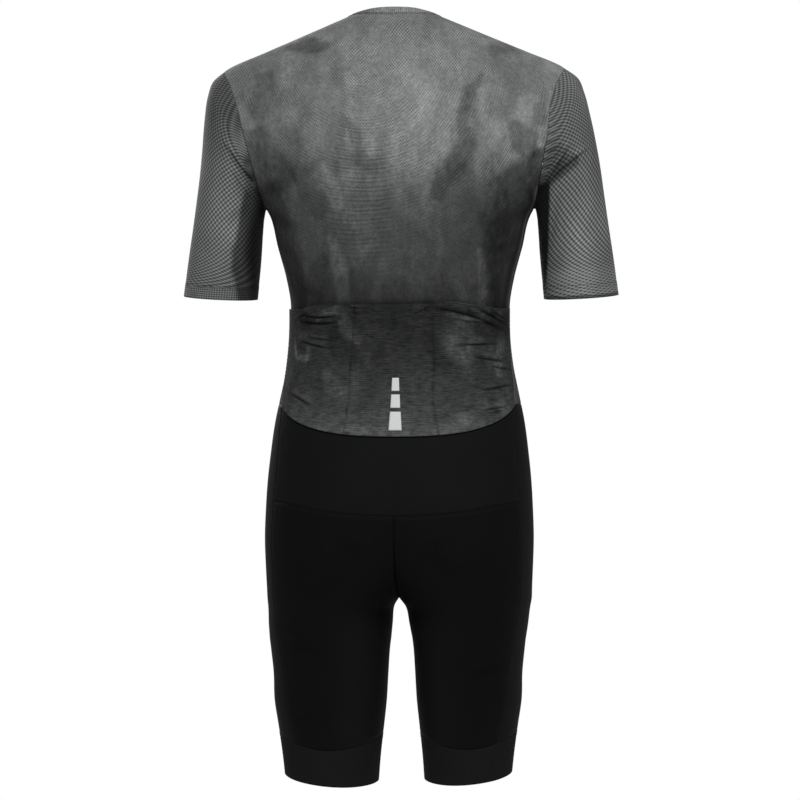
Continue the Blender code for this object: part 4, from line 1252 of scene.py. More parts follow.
@dataclass
class Stitching:
    """Rows of small raised stitches along the seams, all in one piece.

    Attributes:
        name: The piece's name.
        thread: Its material.
        slot: Its slot name, which is not used.
        pitch: The distance from one stitch to the next.
        thickness: The thread's thickness.
        fill: A stitch's length, as a share of the pitch.
        proud: How far its middle is out of the cloth, as a share of the thickness.
        places: The stitches so far.
    """

    name: str
    thread: Material
    slot: str
    pitch: float = 0.0028
    thickness: float = 0.00042
    fill: float = 0.84
    proud: float = 0.22
    places: list[Matrix] = field(default_factory=list)

    def sew(self, line: Line, kind: Stitch, aside: float = 0.0) -> None:
        """Adds the rows of a kind of stitching along a line, moved to its side.

        Each stitch is a grain with rounded ends, sunk a little into the cloth.
        """
        for to_side, slant in kind.value:
            number = max(1, round(line.length() / self.pitch))
            points, along, out = line.at(line.middles(number))
            side = unit(np.cross(out, along))
            sway = np.where(np.arange(number) % 2, 1.0, -1.0)[:, None] * slant
            half, thick = self.pitch * self.fill / 2, self.thickness / 2
            way = unit(along * half * 2 + side * sway)
            above = points + side * (to_side + aside) + out * self.thickness * self.proud
            grains = (way * np.hypot(half, sway / 2), np.cross(out, way) * thick, out * thick, above)
            self.places.extend(map(seat, *grains))

    def build(self) -> None:
        """Makes the piece."""
        grain = bmesh.new()
        bmesh.ops.create_uvsphere(grain, u_segments=6, v_segments=4, radius=1)
        made = repeated(self.name, grain, self.places, self.thread)
        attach(made, SUIT_BODY)
        LOG.info("%s: %d stitches", self.name, len(self.places))


# ---------------- the print
# Lightness of the printed knit by height, as linear grey.
PRINT_LEVELS = (
    (-0.019, 0.155), (-0.043, 0.175), (-0.066, 0.190), (-0.102, 0.196), (-0.149, 0.196), (-0.173, 0.180),
    (-0.189, 0.145), (-0.218, 0.096), (-0.232, 0.080), (-0.274, 0.057), (-0.314, 0.050), (-0.331, 0.036),
    (-0.345, 0.030), (-0.355, 0.020), (-0.520, 0.035),
)


@dataclass(frozen=True)
class Stroke:
    """A stroke of the print, lighter or darker than round it, with an edge that wanders; some strokes are
    painted shade along creases instead of print.

    Attributes:
        path: Points that it runs through, as the suit stands: x, z and half its width at each.
        stops: How many times the lightness doubles in it, or less than 0 to halve.
        edge: How soft its edge is, as a share of its half width.
        view: The side that it is on.
    """

    path: Array
    stops: float
    edge: float
    view: View

    def stops_at(self, points: Array, outward: Array, wander: Array) -> Array:
        """How many times the lightness doubles at each point."""
        cover = np.zeros(points.shape[:2])
        for (x0, z0, reach0), (x1, z1, reach1) in zip(self.path, self.path[1:]):
            line = np.array((x1 - x0, z1 - z0))
            flat = points[..., [0, 2]] - (x0, z0)
            t = np.clip(flat @ line / (line @ line), 0, 1)
            off = length_of(flat - line * t[..., None]) + wander
            cover = np.maximum(cover, 1 - step(1 - self.edge, 1 + self.edge, off / mix(reach0, reach1, t)))
        return self.stops * cover * self.view.faces(outward)


def strokes_on(view: View, *rows: Sequence[float]) -> tuple[Stroke, ...]:
    """Strokes on one side: stops, edge, and then x, z and half width in millimetres at each point."""
    return tuple(
        Stroke(np.reshape(path, (-1, 3)) / PER_METRE, stops, edge, view) for stops, edge, *path in rows
    )


BACK_STROKES = strokes_on(
    View.BACK,
    (-0.42, 0.5, 84, -64, 23.6, 80, -114, 30.7, 84, -172, 31.9),
    (-0.58, 0.5, 156, -61, 30.7, 161, -119, 40.1, 149, -179, 42.5),
    (-0.8, 0.45, 122, -43, 7.1, 103, -43, 10.6, 80, -46, 8.3),
    (0.28, 0.5, 131, -56, 3.5, 127, -73, 7.1, 125, -92, 5.9),
    (-0.4, 0.4, 152, -88, 15.3, 156, -121, 16.5),
    (0.45, 0.5, 185, -121, 9.4, 170, -140, 7.1),
    (-0.55, 0.35, 156, -155, 14.2, 144, -179, 18.9, 130, -203, 16.5),
    (0.5, 0.35, 79, -190, 4.7, 72, -210, 9.4, 62, -236, 7.1),
    (-0.4, 0.4, 108, -199, 9.4, 88, -237, 14.2),
    (-1, 0.6, 144, -221, 14.2, 131, -275, 17.7, 119, -348, 16.5),
    (-0.4, 0.35, 57, -128, 3.5, 46, -147, 7.1, 39, -173, 7.1, 20, -196, 7.1),
    (-0.28, 0.5, 52, -173, 8.3, 44, -199, 13, 32, -238, 10.6),
    (0.4, 0.7, 44, -208, 14.2, 44, -249, 21.2, 29, -305, 15.3),
    (-0.5, 0.35, 25, -305, 13, 34, -324, 17.7, 41, -354, 14.2),
    (0.75, 0.35, 70, -277, 4.7, 60, -312, 9.4, 54, -354, 8.3),
    (-0.55, 0.35, 84, -305, 9.4, 97, -331, 16.5, 100, -353, 17.7),
    (-0.55, 0.35, -105, -90, 2.4, -95, -107, 5.9, -86, -128, 8.3, -85, -144, 8.3, -91, -163, 10.6,
     -79, -184, 13, -67, -203, 14.2, -53, -227, 9.4),
    (-0.25, 0.6, -98, -111, 9.4, -96, -137, 10.6, -93, -167, 14.2, -82, -194, 18.9),
    (-0.3, 0.4, -79, -196, 14.2, -82, -229, 35.4, -93, -269, 42.5),
    (-0.38, 0.6, -137, -62, 21.2, -155, -82, 26, -131, -118, 18.9),
    (-0.75, 0.25, -150, -148, 12, -157, -158, 17.5, -161, -170, 13),
    (-0.45, 0.4, -132, -226, 12, -127, -272, 12, -122, -345, 11),
    (-0.3, 0.4, -88, -130, 9, -84, -146, 11, -82, -166, 12),
    (-0.6, 0.4, -173, -121, 5.9, -174, -135, 9.4),
    (0.5, 0.5, -176, -162, 3.5, -179, -186, 4.7),
    (-1.2, 0.3, -185, -179, 11.8, -164, -198, 18.9, -143, -222, 23.6, -131, -258, 23.6, -131, -303, 22.4,
     -135, -348, 18.9),
    (0.45, 0.4, -60, -277, 4.7, -61, -292, 7.1),
    (0.8, 0.35, -105, -291, 4.7, -112, -321, 7.1, -110, -352, 9.4),
    (0.5, 0.4, -79, -328, 4.7, -87, -343, 8.3),
    (0.1, 0.5, -117, -126, 8.3, -122, -158, 14.2, -114, -193, 11.8),
    (-0.35, 0.5, -124, -47, 9.4, -133, -46, 9.4),
    (0.18, 0.4, 20, -67, 21.2, -13, -114, 40.1, -43, -161, 30.7, -27, -199, 16.5),
    (0.2, 0.6, -18, -246, 47.2, -4, -305, 44.8),
    (-0.1, 0.6, -8, -19, 35.4, -13, -24, 47.2),
)
# The hidden front has the same kind of print, placed otherwise.
FRONT_STROKES = strokes_on(
    View.FRONT,
    (0.25, 0.8, 75, -75, 26, 68, -150, 20.8),
    (0.2, 0.8, -72, -60, 24, -80, -135, 19.2),
    (-0.6, 0.5, 140, -110, 16, 128, -170, 12.8),
    (-0.4, 0.6, 165, -80, 14, 158, -120, 11.2),
    (-0.5, 0.6, -150, -90, 20, -142, -150, 16),
    (-0.8, 0.4, -118, -150, 12, -86, -215, 9.6),
    (-0.55, 0.5, -52, -190, 11, -36, -240, 8.8),
    (0.4, 0.6, 48, -205, 14, 40, -262, 11.2),
    (-0.9, 0.5, 122, -215, 18, 100, -290, 14.4),
    (-0.95, 0.5, -130, -235, 18, -116, -330, 14.4),
    (0.6, 0.7, 62, -325, 18, 54, -372, 14.4),
    (0.7, 0.7, -62, -380, 19, -50, -425, 15.2),
    (0.6, 0.7, 94, -410, 15, 88, -448, 12),
    (0.5, 0.6, -18, -300, 11, -24, -345, 8.8),
)
POCKET_LEVELS = (
    (-0.340, 0.023), (-0.385, 0.027), (-0.420, 0.032), (-0.450, 0.038), (-0.475, 0.045), (-0.495, 0.060),
    (-0.515, 0.092),
)
# Print on the pocket panel, and in the last six strokes painted shade along the creases below its top edge.
POCKET_PRINT_AND_SHADE_STROKES = strokes_on(
    View.BACK,
    (0.9, 0.4, 79, -363, 4.7, 64, -361, 5.9, 58, -371, 7.1, 51, -386, 7.1, 40, -395, 4.7),
    (1.3, 0.6, 119, -387, 2.1, 119, -402, 2.6, 117, -415, 2.8, 106, -418, 2.6),
    (0.9, 0.7, 101, -408, 1.9, 100, -417, 2.4),
    (0.8, 0.7, 114, -392, 2.4, 104, -388, 2.4),
    (0.55, 0.5, 75, -438, 7.1, 68, -452, 10.6, 54, -462, 7.1),
    (0.55, 0.5, 42, -429, 4.7, 42, -452, 5.9),
    (0.8, 0.4, -71, -364, 3.5, -82, -366, 5.9, -96, -370, 4.7, -111, -368, 5.9),
    (0.8, 0.45, -86, -376, 9.4, -84, -395, 15.3, -82, -411, 11.8),
    (0.45, 0.5, -64, -387, 7.1, -69, -404, 5.9),
    (0.55, 0.6, -91, -411, 9.4, -89, -430, 5.9),
    (0.35, 0.6, -117, -402, 7.1, -121, -434, 7.1),
    (0.9, 0.5, -131, -398, 3, -127, -418, 4.7, -128, -437, 3.5),
    (0.45, 0.5, -105, -463, 5.9, -111, -474, 4.7),
    (0.75, 0.7, -80, -487, 3.5, -90, -491, 5.9),
    (0.6, 0.5, -131, -471, 4.7, -137, -480, 4.7),
    (0.45, 0.7, 52, -502, 4.7, 32, -504, 4.7),
    (0.4, 0.7, -58, -504, 4.7, -74, -501, 5.9),
    (0.15, 0.8, 13, -489, 18.9, -43, -489, 18.9),
    (-0.35, 0.5, 104, -378, 8.3, 70, -385, 9.4),
    (-0.5, 0.35, 66, -400, 9.4, 57, -412, 13, 42, -424, 8.3),
    (-0.3, 0.6, 32, -364, 16.5, -13, -364, 23.6, -45, -380, 18.9),
    (-0.3, 0.6, -4, -411, 21.2, -39, -409, 18.9),
    (-0.25, 0.5, 108, -434, 8.3, 101, -450, 8.3),
    (-0.35, 0.5, -107, -383, 7.1, -120, -392, 8.3),
    (-0.35, 0.5, -105, -423, 7.1, -117, -440, 9.4),
    # painted shade along the creases below the top edge
    (-0.9, 0.6, -93, -363, 2.4, -112, -368, 4.7, -135, -381, 7.1),
    (-0.6, 0.6, -60, -358, 2.4, -82, -361, 3.5, -105, -366, 3.5),
    (-0.7, 0.6, -121, -362, 2.4, -135, -370, 4.7),
    (-0.55, 0.6, 108, -368, 2.4, 84, -371, 4.1, 65, -370, 2.4),
    (-0.7, 0.6, 112, -372, 2.4, 84, -375, 4.1, 65, -374, 2.4),
    (-0.6, 0.6, 119, -369, 3.5, 104, -362, 2.4),
)
WANDER = 0.006  # how far the edges of the strokes wander
PATCH_SIZES = (0.045, 0.014, 0.005)


def wander_at(points: Array, size: float) -> Array:
    """Smooth noise at each point, from about -1 to 1, in patches of about a size, twice as tall."""
    places = points.reshape(-1, 3) * (1 / size, 1 / size, 0.5 / size)
    return np.array([noise.fractal(Vector(p), 0.8, 2.1, 4) for p in places]).reshape(points.shape[:-1])


def printed(panel: Cloth, levels: Course, drawn: Iterable[Stroke]) -> Array:
    """The lightness of a cloudy print on a panel, from its levels by height and the strokes drawn on it,
    with painted shade where a stroke stands for shade in a crease.
    """
    standing = stance(panel.points)
    z, tones = np.array(sorted(levels)).T
    wide, narrow, fine = (wander_at(standing, size) for size in PATCH_SIZES)
    wander = WANDER * (0.7 * wide + 0.55 * narrow + 0.30 * fine)
    stops = sum(stroke.stops_at(standing, panel.outward, wander) for stroke in drawn)
    clouds = 0.17 * np.tanh(3 * wide + narrow) + 0.15 * narrow + 0.12 * fine
    return np.interp(standing[..., 2] + wander, z, tones) * 2 ** (stops * (1 + 0.5 * fine) + clouds)


# ---------------- the suit's parts
# Folds, as the suit stands.
POCKET_FOLDS = folds_on(
    View.BACK,
    (1, -50.8, -354.4, -138, -381, 6.2, 2.6, -5.3, 2.6), (1, -106, -356.5, -137.5, -374.5, 4.6, 2, -1, 2.2),
    (1, -120, -358, -137, -369, 3.4, 1.3, 0, 1.6), (1, -74, -369, -122, -373.5, 3.6, 1.1, 0.5, 1.4),
    (1, -77, -398, -124.5, -396.5, 5, 2, 0.6, 1.9), (1, -98.5, -412, -135, -417.2, 5.2, 1.7, 0.4, 2.3),
    (1, -121, -424.5, -141.5, -427.8, 4, 1.2, 0.4, 1.9),
    (1, -105, -452.4, -142, -445.2, 4.8, 1.8, 0.8, 1.7),
    (1, -108, -476.5, -136, -471.8, 4.4, 1.6, 0.6, 1.7), (1, -114, -481.2, -135, -477.8, 2.8, 1, 0, 1.3),
    (1, 118, -369, 102, -359.2, 3.6, 1.2, 0, 1.5), (1, 109, -362.4, 64.5, -364.2, 4.2, 1.7, 2.6, 1.8),
    (1, 112.5, -369.2, 64, -372.2, 4.4, 2, 2.2, 2.1), (1, 101, -389.8, 73.5, -393.8, 3.4, 1.1, 0.4, 1.3),
    (1, 111, -392.8, 71.5, -404, 4.2, 1.7, 0.8, 1.7), (1, 122.5, -455.5, 94, -471, 5.2, 1.5, 0, 2.4),
    (1, 52, -353.5, 36, -356, 3.2, 1.2, 1, 1.4), (1, 36, -356, 10, -364, 4, 0.7, -3, 1.2),
    (1, -25, -364, -48, -352, 4, 0.7, 1, 1.2), (0.5, 98, -435, 68, -447, 8, 0.8, 1),
    (0.5, 20, -372, -30, -374, 7, 0.6, 2),
)
BACK_FOLDS = folds_on(
    View.BACK,
    (0.5, 150, -228, 98, -262, 11, 1.4, 3), (0.5, 140, -262, 104, -300, 9, 0.9, 2),
    (0.5, -158, -226, -112, -256, 12, 1.6, 3), (0.5, -146, -268, -104, -290, 8.5, 1, 2),
    (0.5, 128, -318, 70, -338, 10, 1, 3), (0.5, -132, -312, -82, -336, 9, 1.1, 3),
)
FRONT_FOLDS = folds_on(
    View.FRONT,
    (0.6, 150, -222, 88, -252, 12, 1.8, 3), (0.6, 144, -250, 100, -292, 9, 1.2, 2),
    (0.6, -156, -220, -100, -246, 11, 1.6, 3), (0.6, -150, -256, -104, -300, 10, 1.3, 2),
    (1, 122, -338, 40, -352, 9, 1.8, 5, 4.4), (0.7, 126, -378, 60, -372, 8, 1.2, 2),
    (0.7, 128, -410, 30, -426, 10, 1.6, 4), (1, -134, -350, -66, -358, 8.5, 1.6, 4, 4.2),
    (1, -136, -392, -34, -402, 9.5, 1.9, 5, 4.6), (0.7, -138, -436, -78, -430, 8, 1.1, 2),
)
SHORTS_FOLDS = folds_on(
    View.BACK,
    (0.3, -58, -640, -92, -668, 13, 0.8, 3), (0.3, 60, -664, 104, -686, 14, 0.7, 3),
    (0.3, 18, -648, 52, -622, 15, 0.7, -2), (0.3, -26, -650, -66, -618, 14, 0.7, -2),
    (0.5, 128, -744, 76, -758, 10, 0.9, 2), (0.5, -134, -772, -86, -786, 11, 1, 2),
    (0.5, 124, -836, 82, -842, 9, 0.7, 1),
) + folds_on(
    View.FRONT,
    (0.6, 10, -690, 70, -640, 11, 1.8, 2), (0.6, 20, -700, 98, -676, 10, 1.4, 2),
    (0.6, -22, -692, -84, -636, 12, 1.8, 2), (0.6, -30, -704, -104, -684, 10, 1.4, 2),
    (0.5, 124, -548, 60, -560, 11, 1, 3), (0.5, -130, -556, -72, -574, 11, 1.1, 3),
    (0.5, -120, -800, -66, -812, 10, 0.9, 2), (0.5, 120, -786, 74, -794, 10, 0.9, 2),
)
LEFT_SLEEVE_FOLDS = folds_on(
    View.BACK,
    (1.2, 201, -154.5, 161, -208, 4.6, 1.6, 0, 1.3), (1, 188, -190, 168, -222, 5, 1.2, 2),
    (0.4, 206, -250, 178, -228, 10, 1.2, 0),
) + folds_on(
    View.FRONT,
    (1.2, 196, -160, 168, -200, 6, 1.5, 2, 1.3), (0.8, 204, -205, 172, -232, 8, 1.3, 2),
)
RIGHT_SLEEVE_FOLDS = folds_on(
    View.BACK,
    (1.2, -233, -164, -184, -205, 4.8, 1.8, 0, 1.4), (1, -211, -161, -185, -202, 3.8, 1.3, 1, 1.2),
    (0.6, -192, -222, -180, -290, 8, 1, 0),
) + folds_on(
    View.FRONT,
    (1.2, -222, -166, -178, -206, 6.5, 1.5, 3, 1.3), (0.6, -204, -236, -180, -250, 9, 1, 2),
)


@dataclass
class Torso:
    """The back in one piece, the two fronts, and the narrow panels down the sides."""

    knit: Material
    side_knit: Material
    seams: Stitching
    cover: Stitching
    aside: float = 0.0022  # how far beside a seam its stitches run
    back_finer: tuple[int, int] = (9, 9)
    side_light: float = 0.060
    side_patch: float = 0.03  # how wide the lighter and darker patches of the side panels are

    def build(self) -> None:
        """Makes the panels and sews them."""
        size = 2 * HALF_BACK_COLUMNS, TORSO_ROWS
        back = Cloth.on("back_panel", Body.point, Outline.back, *size, self.back_finer)
        front = Cloth.on("front_left", Body.point, Outline.front, FRONT_COLUMNS, TORSO_ROWS)
        side = Cloth.on("torso_side_left", Body.point, Outline.side, SIDE_COLUMNS, PIT_ROW)
        for panel in (back, front, front.mirrored("front_right")):
            panel.fold(BACK_FOLDS + FRONT_FOLDS)
            panel.tone = panel.tone * printed(panel, PRINT_LEVELS, BACK_STROKES + FRONT_STROKES)
            self.straighten(panel)
            if panel is back:
                self.shade_sides(panel)
            panel.sink_edges().build(self.knit, "body_knit", ["collar_cloth"])
            self.sew_armholes(panel)
        for panel in (side, side.mirrored("torso_side_right")):
            panel.fold(BACK_FOLDS + FRONT_FOLDS)
            patches = wander_at(stance(panel.points), self.side_patch)
            panel.tone = panel.tone * self.side_light * 2 ** (0.9 * patches)
            panel.sink_edges().build(self.side_knit, "side_knit", ["back_panel_cloth"])
            rows = np.arange(PIT_ROW * FINER + 1)
            for column, aside in ((0, self.aside), (SIDE_COLUMNS * FINER, -self.aside)):
                self.seams.sew(panel.line(column, rows), Stitch.SINGLE, aside * 2)
                self.cover.sew(panel.line(column, rows), Stitch.ZIGZAG, aside)

    @staticmethod
    def straighten(panel: Cloth) -> None:
        """Lays the rows of the knit level, and its columns upright with the spacing across the chest."""
        row = (panel.points.shape[0] - 1) * PIT_ROW // TORSO_ROWS
        chest, across = panel.points[row, :, 0], panel.pattern[row, :, 0]
        order = np.argsort(chest)
        x = panel.points[..., 0]
        inside = np.clip(x, chest.min(), chest.max())
        beyond = (x - inside) * np.sign((across[-1] - across[0]) * (chest[-1] - chest[0]))
        panel.pattern[..., 0] = np.interp(inside, chest[order], across[order]) + beyond
        panel.pattern[..., 1] = panel.points[..., 2]

    @staticmethod
    def shade_sides(back: Cloth) -> None:
        """Paints light and shade where the back rolls round at its side seams, below the armholes: a painted
        highlight by the right edge, painted shade just inside it, and painted shade by the left edge.
        """
        from_left = run(back.points, 1)
        from_right = from_left[:, [-1]] - from_left
        # painted highlight by the right edge, painted shade just inside it and by the left edge
        painted_roll_shading = 2.2 * hump(from_right, 0.006) - 0.7 * hump(from_right - 0.016, 0.006)
        below_armhole = 1 - step(-0.225, -0.205, back.points[..., 2])
        back.tone *= 1 + below_armhole * (painted_roll_shading - 0.7 * hump(from_left, 0.0085))

    def sew_armholes(self, panel: Cloth) -> None:
        """Stitches round the parts of the armholes that are on a panel."""
        finer = (panel.points.shape[0] - 1) // TORSO_ROWS
        rows = np.arange(PIT_ROW * finer, TIP_ROW * finer + 1)
        last = panel.points.shape[1] - 1
        for column, aside, name in ((0, self.aside, "front_left"), (last, -self.aside, "front_right")):
            if panel.name != name:
                self.seams.sew(panel.line(column, rows), Stitch.SINGLE, aside)


@dataclass
class Pockets:
    """The pocket panel, a layer of ribbed knit on the lower back, with three plain reflective bars."""

    rib: Material
    film: Material
    seams: Stitching
    cover: Stitching
    finer: tuple[int, int] = (8, 32)
    hem_rows: tuple[int, int] = (2, 11)  # how many fine rows below the top edge its hem is stitched
    groove_width: float = 0.0015  # of the shade along the lines of stitches between the pockets
    aside: float = 0.0014  # how far beside the side seams their stitches run
    tacks: tuple[int, int] = (10, 4)  # fine rows with tacks at the side seams, and at the lines of stitches
    film_grid: tuple[int, int] = (9, 15)
    film_wall: float = 0.00012
    film_proud: float = 0.00018
    # middle x, lower and upper z, and lower and upper width of each bar
    bars: tuple[tuple[float, float, float, float, float], ...] = (
        (-0.0066, -0.5035, -0.4815, 0.0156, 0.0126),
        (-0.0065, -0.4770, -0.4612, 0.0116, 0.0101),
        (-0.0064, -0.4570, -0.4415, 0.0093, 0.0080),
    )
    # how far up, and where, the two lines of stitches between the pockets run
    dividers: tuple[Course, Course] = (
        ((0.0, 0.0545), (0.30, 0.0488), (0.55, 0.0472), (1.0, 0.0424)),
        ((0.0, -0.0578), (0.22, -0.0508), (0.50, -0.0512), (1.0, -0.0494)),
    )
    # how far the top edge droops at shares of its width, from the left
    droop: Course = (
        (0.00, 0.0000), (0.07, 0.0022), (0.16, 0.0036), (0.22, 0.0010), (0.28, -0.0008), (0.36, 0.0014),
        (0.50, 0.0020), (0.66, -0.0010), (0.76, 0.0012), (0.86, 0.0028), (0.93, 0.0016), (1.00, 0.0000),
    )
    # how light the top hem is against the cloth below it, at shares of its width
    hem_light: Course = ((0.00, 1.9), (0.20, 1.7), (0.26, 0.6), (0.60, 0.5), (0.66, 1.5), (1.00, 2.0))

    def outline(self, column: Array, row: Array) -> Pair:
        """The back's rows up to the pockets' top edge, which droops."""
        turn, z = Outline.back(column, row)
        drop = read(self.droop, column / (2 * HALF_BACK_COLUMNS))
        return turn, z - drop * (row / POCKET_ZONE_ROWS) ** 4

    def build(self) -> None:
        """Makes the panel, its stitch lines and the bars."""
        columns = 2 * HALF_BACK_COLUMNS
        panel = Cloth.on("pocket_panel", Body.point, self.outline, columns, POCKET_ZONE_ROWS, self.finer)
        panel.lift(self.stand_off(panel)).fold(POCKET_FOLDS)
        # the print, and painted shade along the creases under the top edge
        panel.tone = panel.tone * printed(panel, POCKET_LEVELS, POCKET_PRINT_AND_SHADE_STROKES)
        panel.tone[-2:] *= read(self.hem_light, np.linspace(0, 1, panel.tone.shape[1]))
        standing = stance(panel.points)
        up = np.linspace(0, 1, len(standing))[:, None]
        # painted shade along the stitched grooves between the pockets, uneven along them
        groove = np.clip(0.30 + 0.5 * wander_at(standing, 0.006), 0, 0.6)
        for course in self.dividers:
            panel.tone *= 1 - groove * hump(standing[..., 0] - read(course, up), self.groove_width)
        panel.build(self.rib, "pocket_rib", ["back_panel_cloth"])
        rows, columns = (np.arange(size) for size in panel.points.shape[:2])
        for below_edge in self.hem_rows:
            self.seams.sew(panel.line(columns, rows[-1] - below_edge), Stitch.SINGLE)
        at_side, at_line = self.tacks
        for column, aside in ((columns[0], -self.aside), (columns[-1], self.aside)):
            self.cover.sew(panel.line(column, rows), Stitch.ZIGZAG, aside)
            self.cover.sew(panel.line(column, rows[-at_side:]), Stitch.TACK, aside * 2)
        for course in self.dividers:
            divider = self.divider(panel, course)
            self.seams.sew(divider, Stitch.SINGLE)
            self.seams.sew(Line(divider.points[-at_line:], divider.outward[-at_line:]), Stitch.TACK)
        self.lay_bars(panel)

    @staticmethod
    def stand_off(panel: Cloth) -> Array:
        """How far each point stands off the back: the layer itself, and slack between stitch lines."""
        up = np.linspace(0, 1, panel.points.shape[0])[:, None]
        divider = mix(DIVIDER_BOTTOM_X, DIVIDER_TOP_X, up)
        edge = Body.rings.at(panel.points[..., 2])["outer_x"]
        x = abs(panel.points[..., 0])
        share = np.where(x < divider, x / divider / 2 + 0.5, np.minimum(1, (x - divider) / (edge - divider)))
        return RAISED + SOLID_WALL + POCKET_SLACK * np.sin(np.pi * share) * up**SLACK_RISE

    @staticmethod
    def divider(panel: Cloth, course: Course) -> Line:
        """The stitch line between the middle pocket and a side one, from its places up the panel."""
        standing = stance(panel.points)
        rows = np.arange(standing.shape[0])
        unsteady = 0.0007 * np.sin(rows * 0.21) * np.cos(rows * 0.083)
        x = read(course, rows / rows[-1]) + unsteady
        columns = [np.interp(-x[r], -standing[r, :, 0], np.arange(standing.shape[1])) for r in rows]
        return panel.line(columns, rows)

    def lay_bars(self, panel: Cloth) -> None:
        """Three plain bars of film up the middle, each narrower than the one below it."""
        flat = stance(panel.points)
        middle = panel.points.shape[1] // 2
        across, up = np.meshgrid(*map(np.linspace, (-0.5, 0), (0.5, 1), self.film_grid))
        for number, (x, low, high, low_width, high_width) in enumerate(self.bars, 1):
            wanted_x, wanted_z = x + across * mix(low_width, high_width, up), mix(low, high, up)
            rows = np.interp(wanted_z, flat[:, middle, 2], np.arange(flat.shape[0]))
            columns = np.interp(-wanted_x, -flat[0, :, 0], np.arange(flat.shape[1]))
            for _ in range(SETTLING):
                at = panel.line(columns.ravel(), rows.ravel()).points.reshape(*rows.shape, 3)
                rows += (wanted_z - at[..., 2]) / (flat[1, middle, 2] - flat[0, middle, 2])
                columns += (wanted_x - at[..., 0]) / (flat[0, middle + 1, 0] - flat[0, middle, 0])
            face = panel.line(columns.ravel(), rows.ravel())
            points = (face.points + face.outward * self.film_proud).reshape(*rows.shape, 3)
            made = new_object(f"reflective_bar_{number}", grid_shape(points), self.film)
            add_wall(made, self.film_wall)
            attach(made, SUIT_BODY)


# How the sleeves' mesh runs along the middle of the arm, behind: millimetres up from the hem; how
# steeply its rows rise towards the inner arm, in degrees; their spacing; how steeply its columns rise
# towards the outer arm; and their spacing.
MESH_UNITS = (PER_METRE, 1, PER_METRE, 1, PER_METRE)
LEFT_MESH = (
    (0, 5, 4, 12, 3.2), (16, 8, 4.2, 20, 3), (34, 25, 4.2, 34, 2.9), (54, 42, 4.3, 45, 3.4),
    (78, 52, 4.3, 50, 3.8), (102, 50, 4.2, 53, 3.9), (126, 47, 4.2, 52, 3.8), (150, 45, 4.2, 55, 3.4),
    (175, 40, 4, 63, 3.1), (199, 31, 3.8, 72, 3.2), (223, 25, 3.7, 80, 3.1), (247, 20, 3.5, 82, 3.1),
    (300, 16, 3.4, 82, 3.2),
)
RIGHT_MESH = (
    (0, 8, 3.7, 31, 3.5), (18, 19, 3.8, 30, 3.5), (38, 30, 4.2, 29, 3), (57, 49, 5.2, 35, 3.1),
    (81, 60, 5.5, 44, 3.5), (105, 61, 5.1, 47, 3.4), (123, 61, 4.8, 46, 3.3), (159, 52, 4.7, 48, 3.3),
    (179, 38, 4.5, 55, 3.1), (201, 34, 4.2, 60, 3), (225, 31, 3.9, 62, 3.1), (243, 28, 3.6, 62, 3.2),
    (300, 24, 3.4, 62, 3.3),
)
# Painted shade along the creases and on the inner arm near the armpits.
LEFT_SLEEVE_SHADE_STROKES = strokes_on(
    View.BACK, (-1.2, 0.5, 166, -186, 10, 160, -210, 8), (-0.4, 0.5, 190, -176, 5, 172, -200, 4)
)
RIGHT_SLEEVE_SHADE_STROKES = strokes_on(
    View.BACK, (-1, 0.5, -216, -183, 6, -188, -205, 4.8), (-0.7, 0.5, -197, -176, 11, -184, -206, 8.8)
)


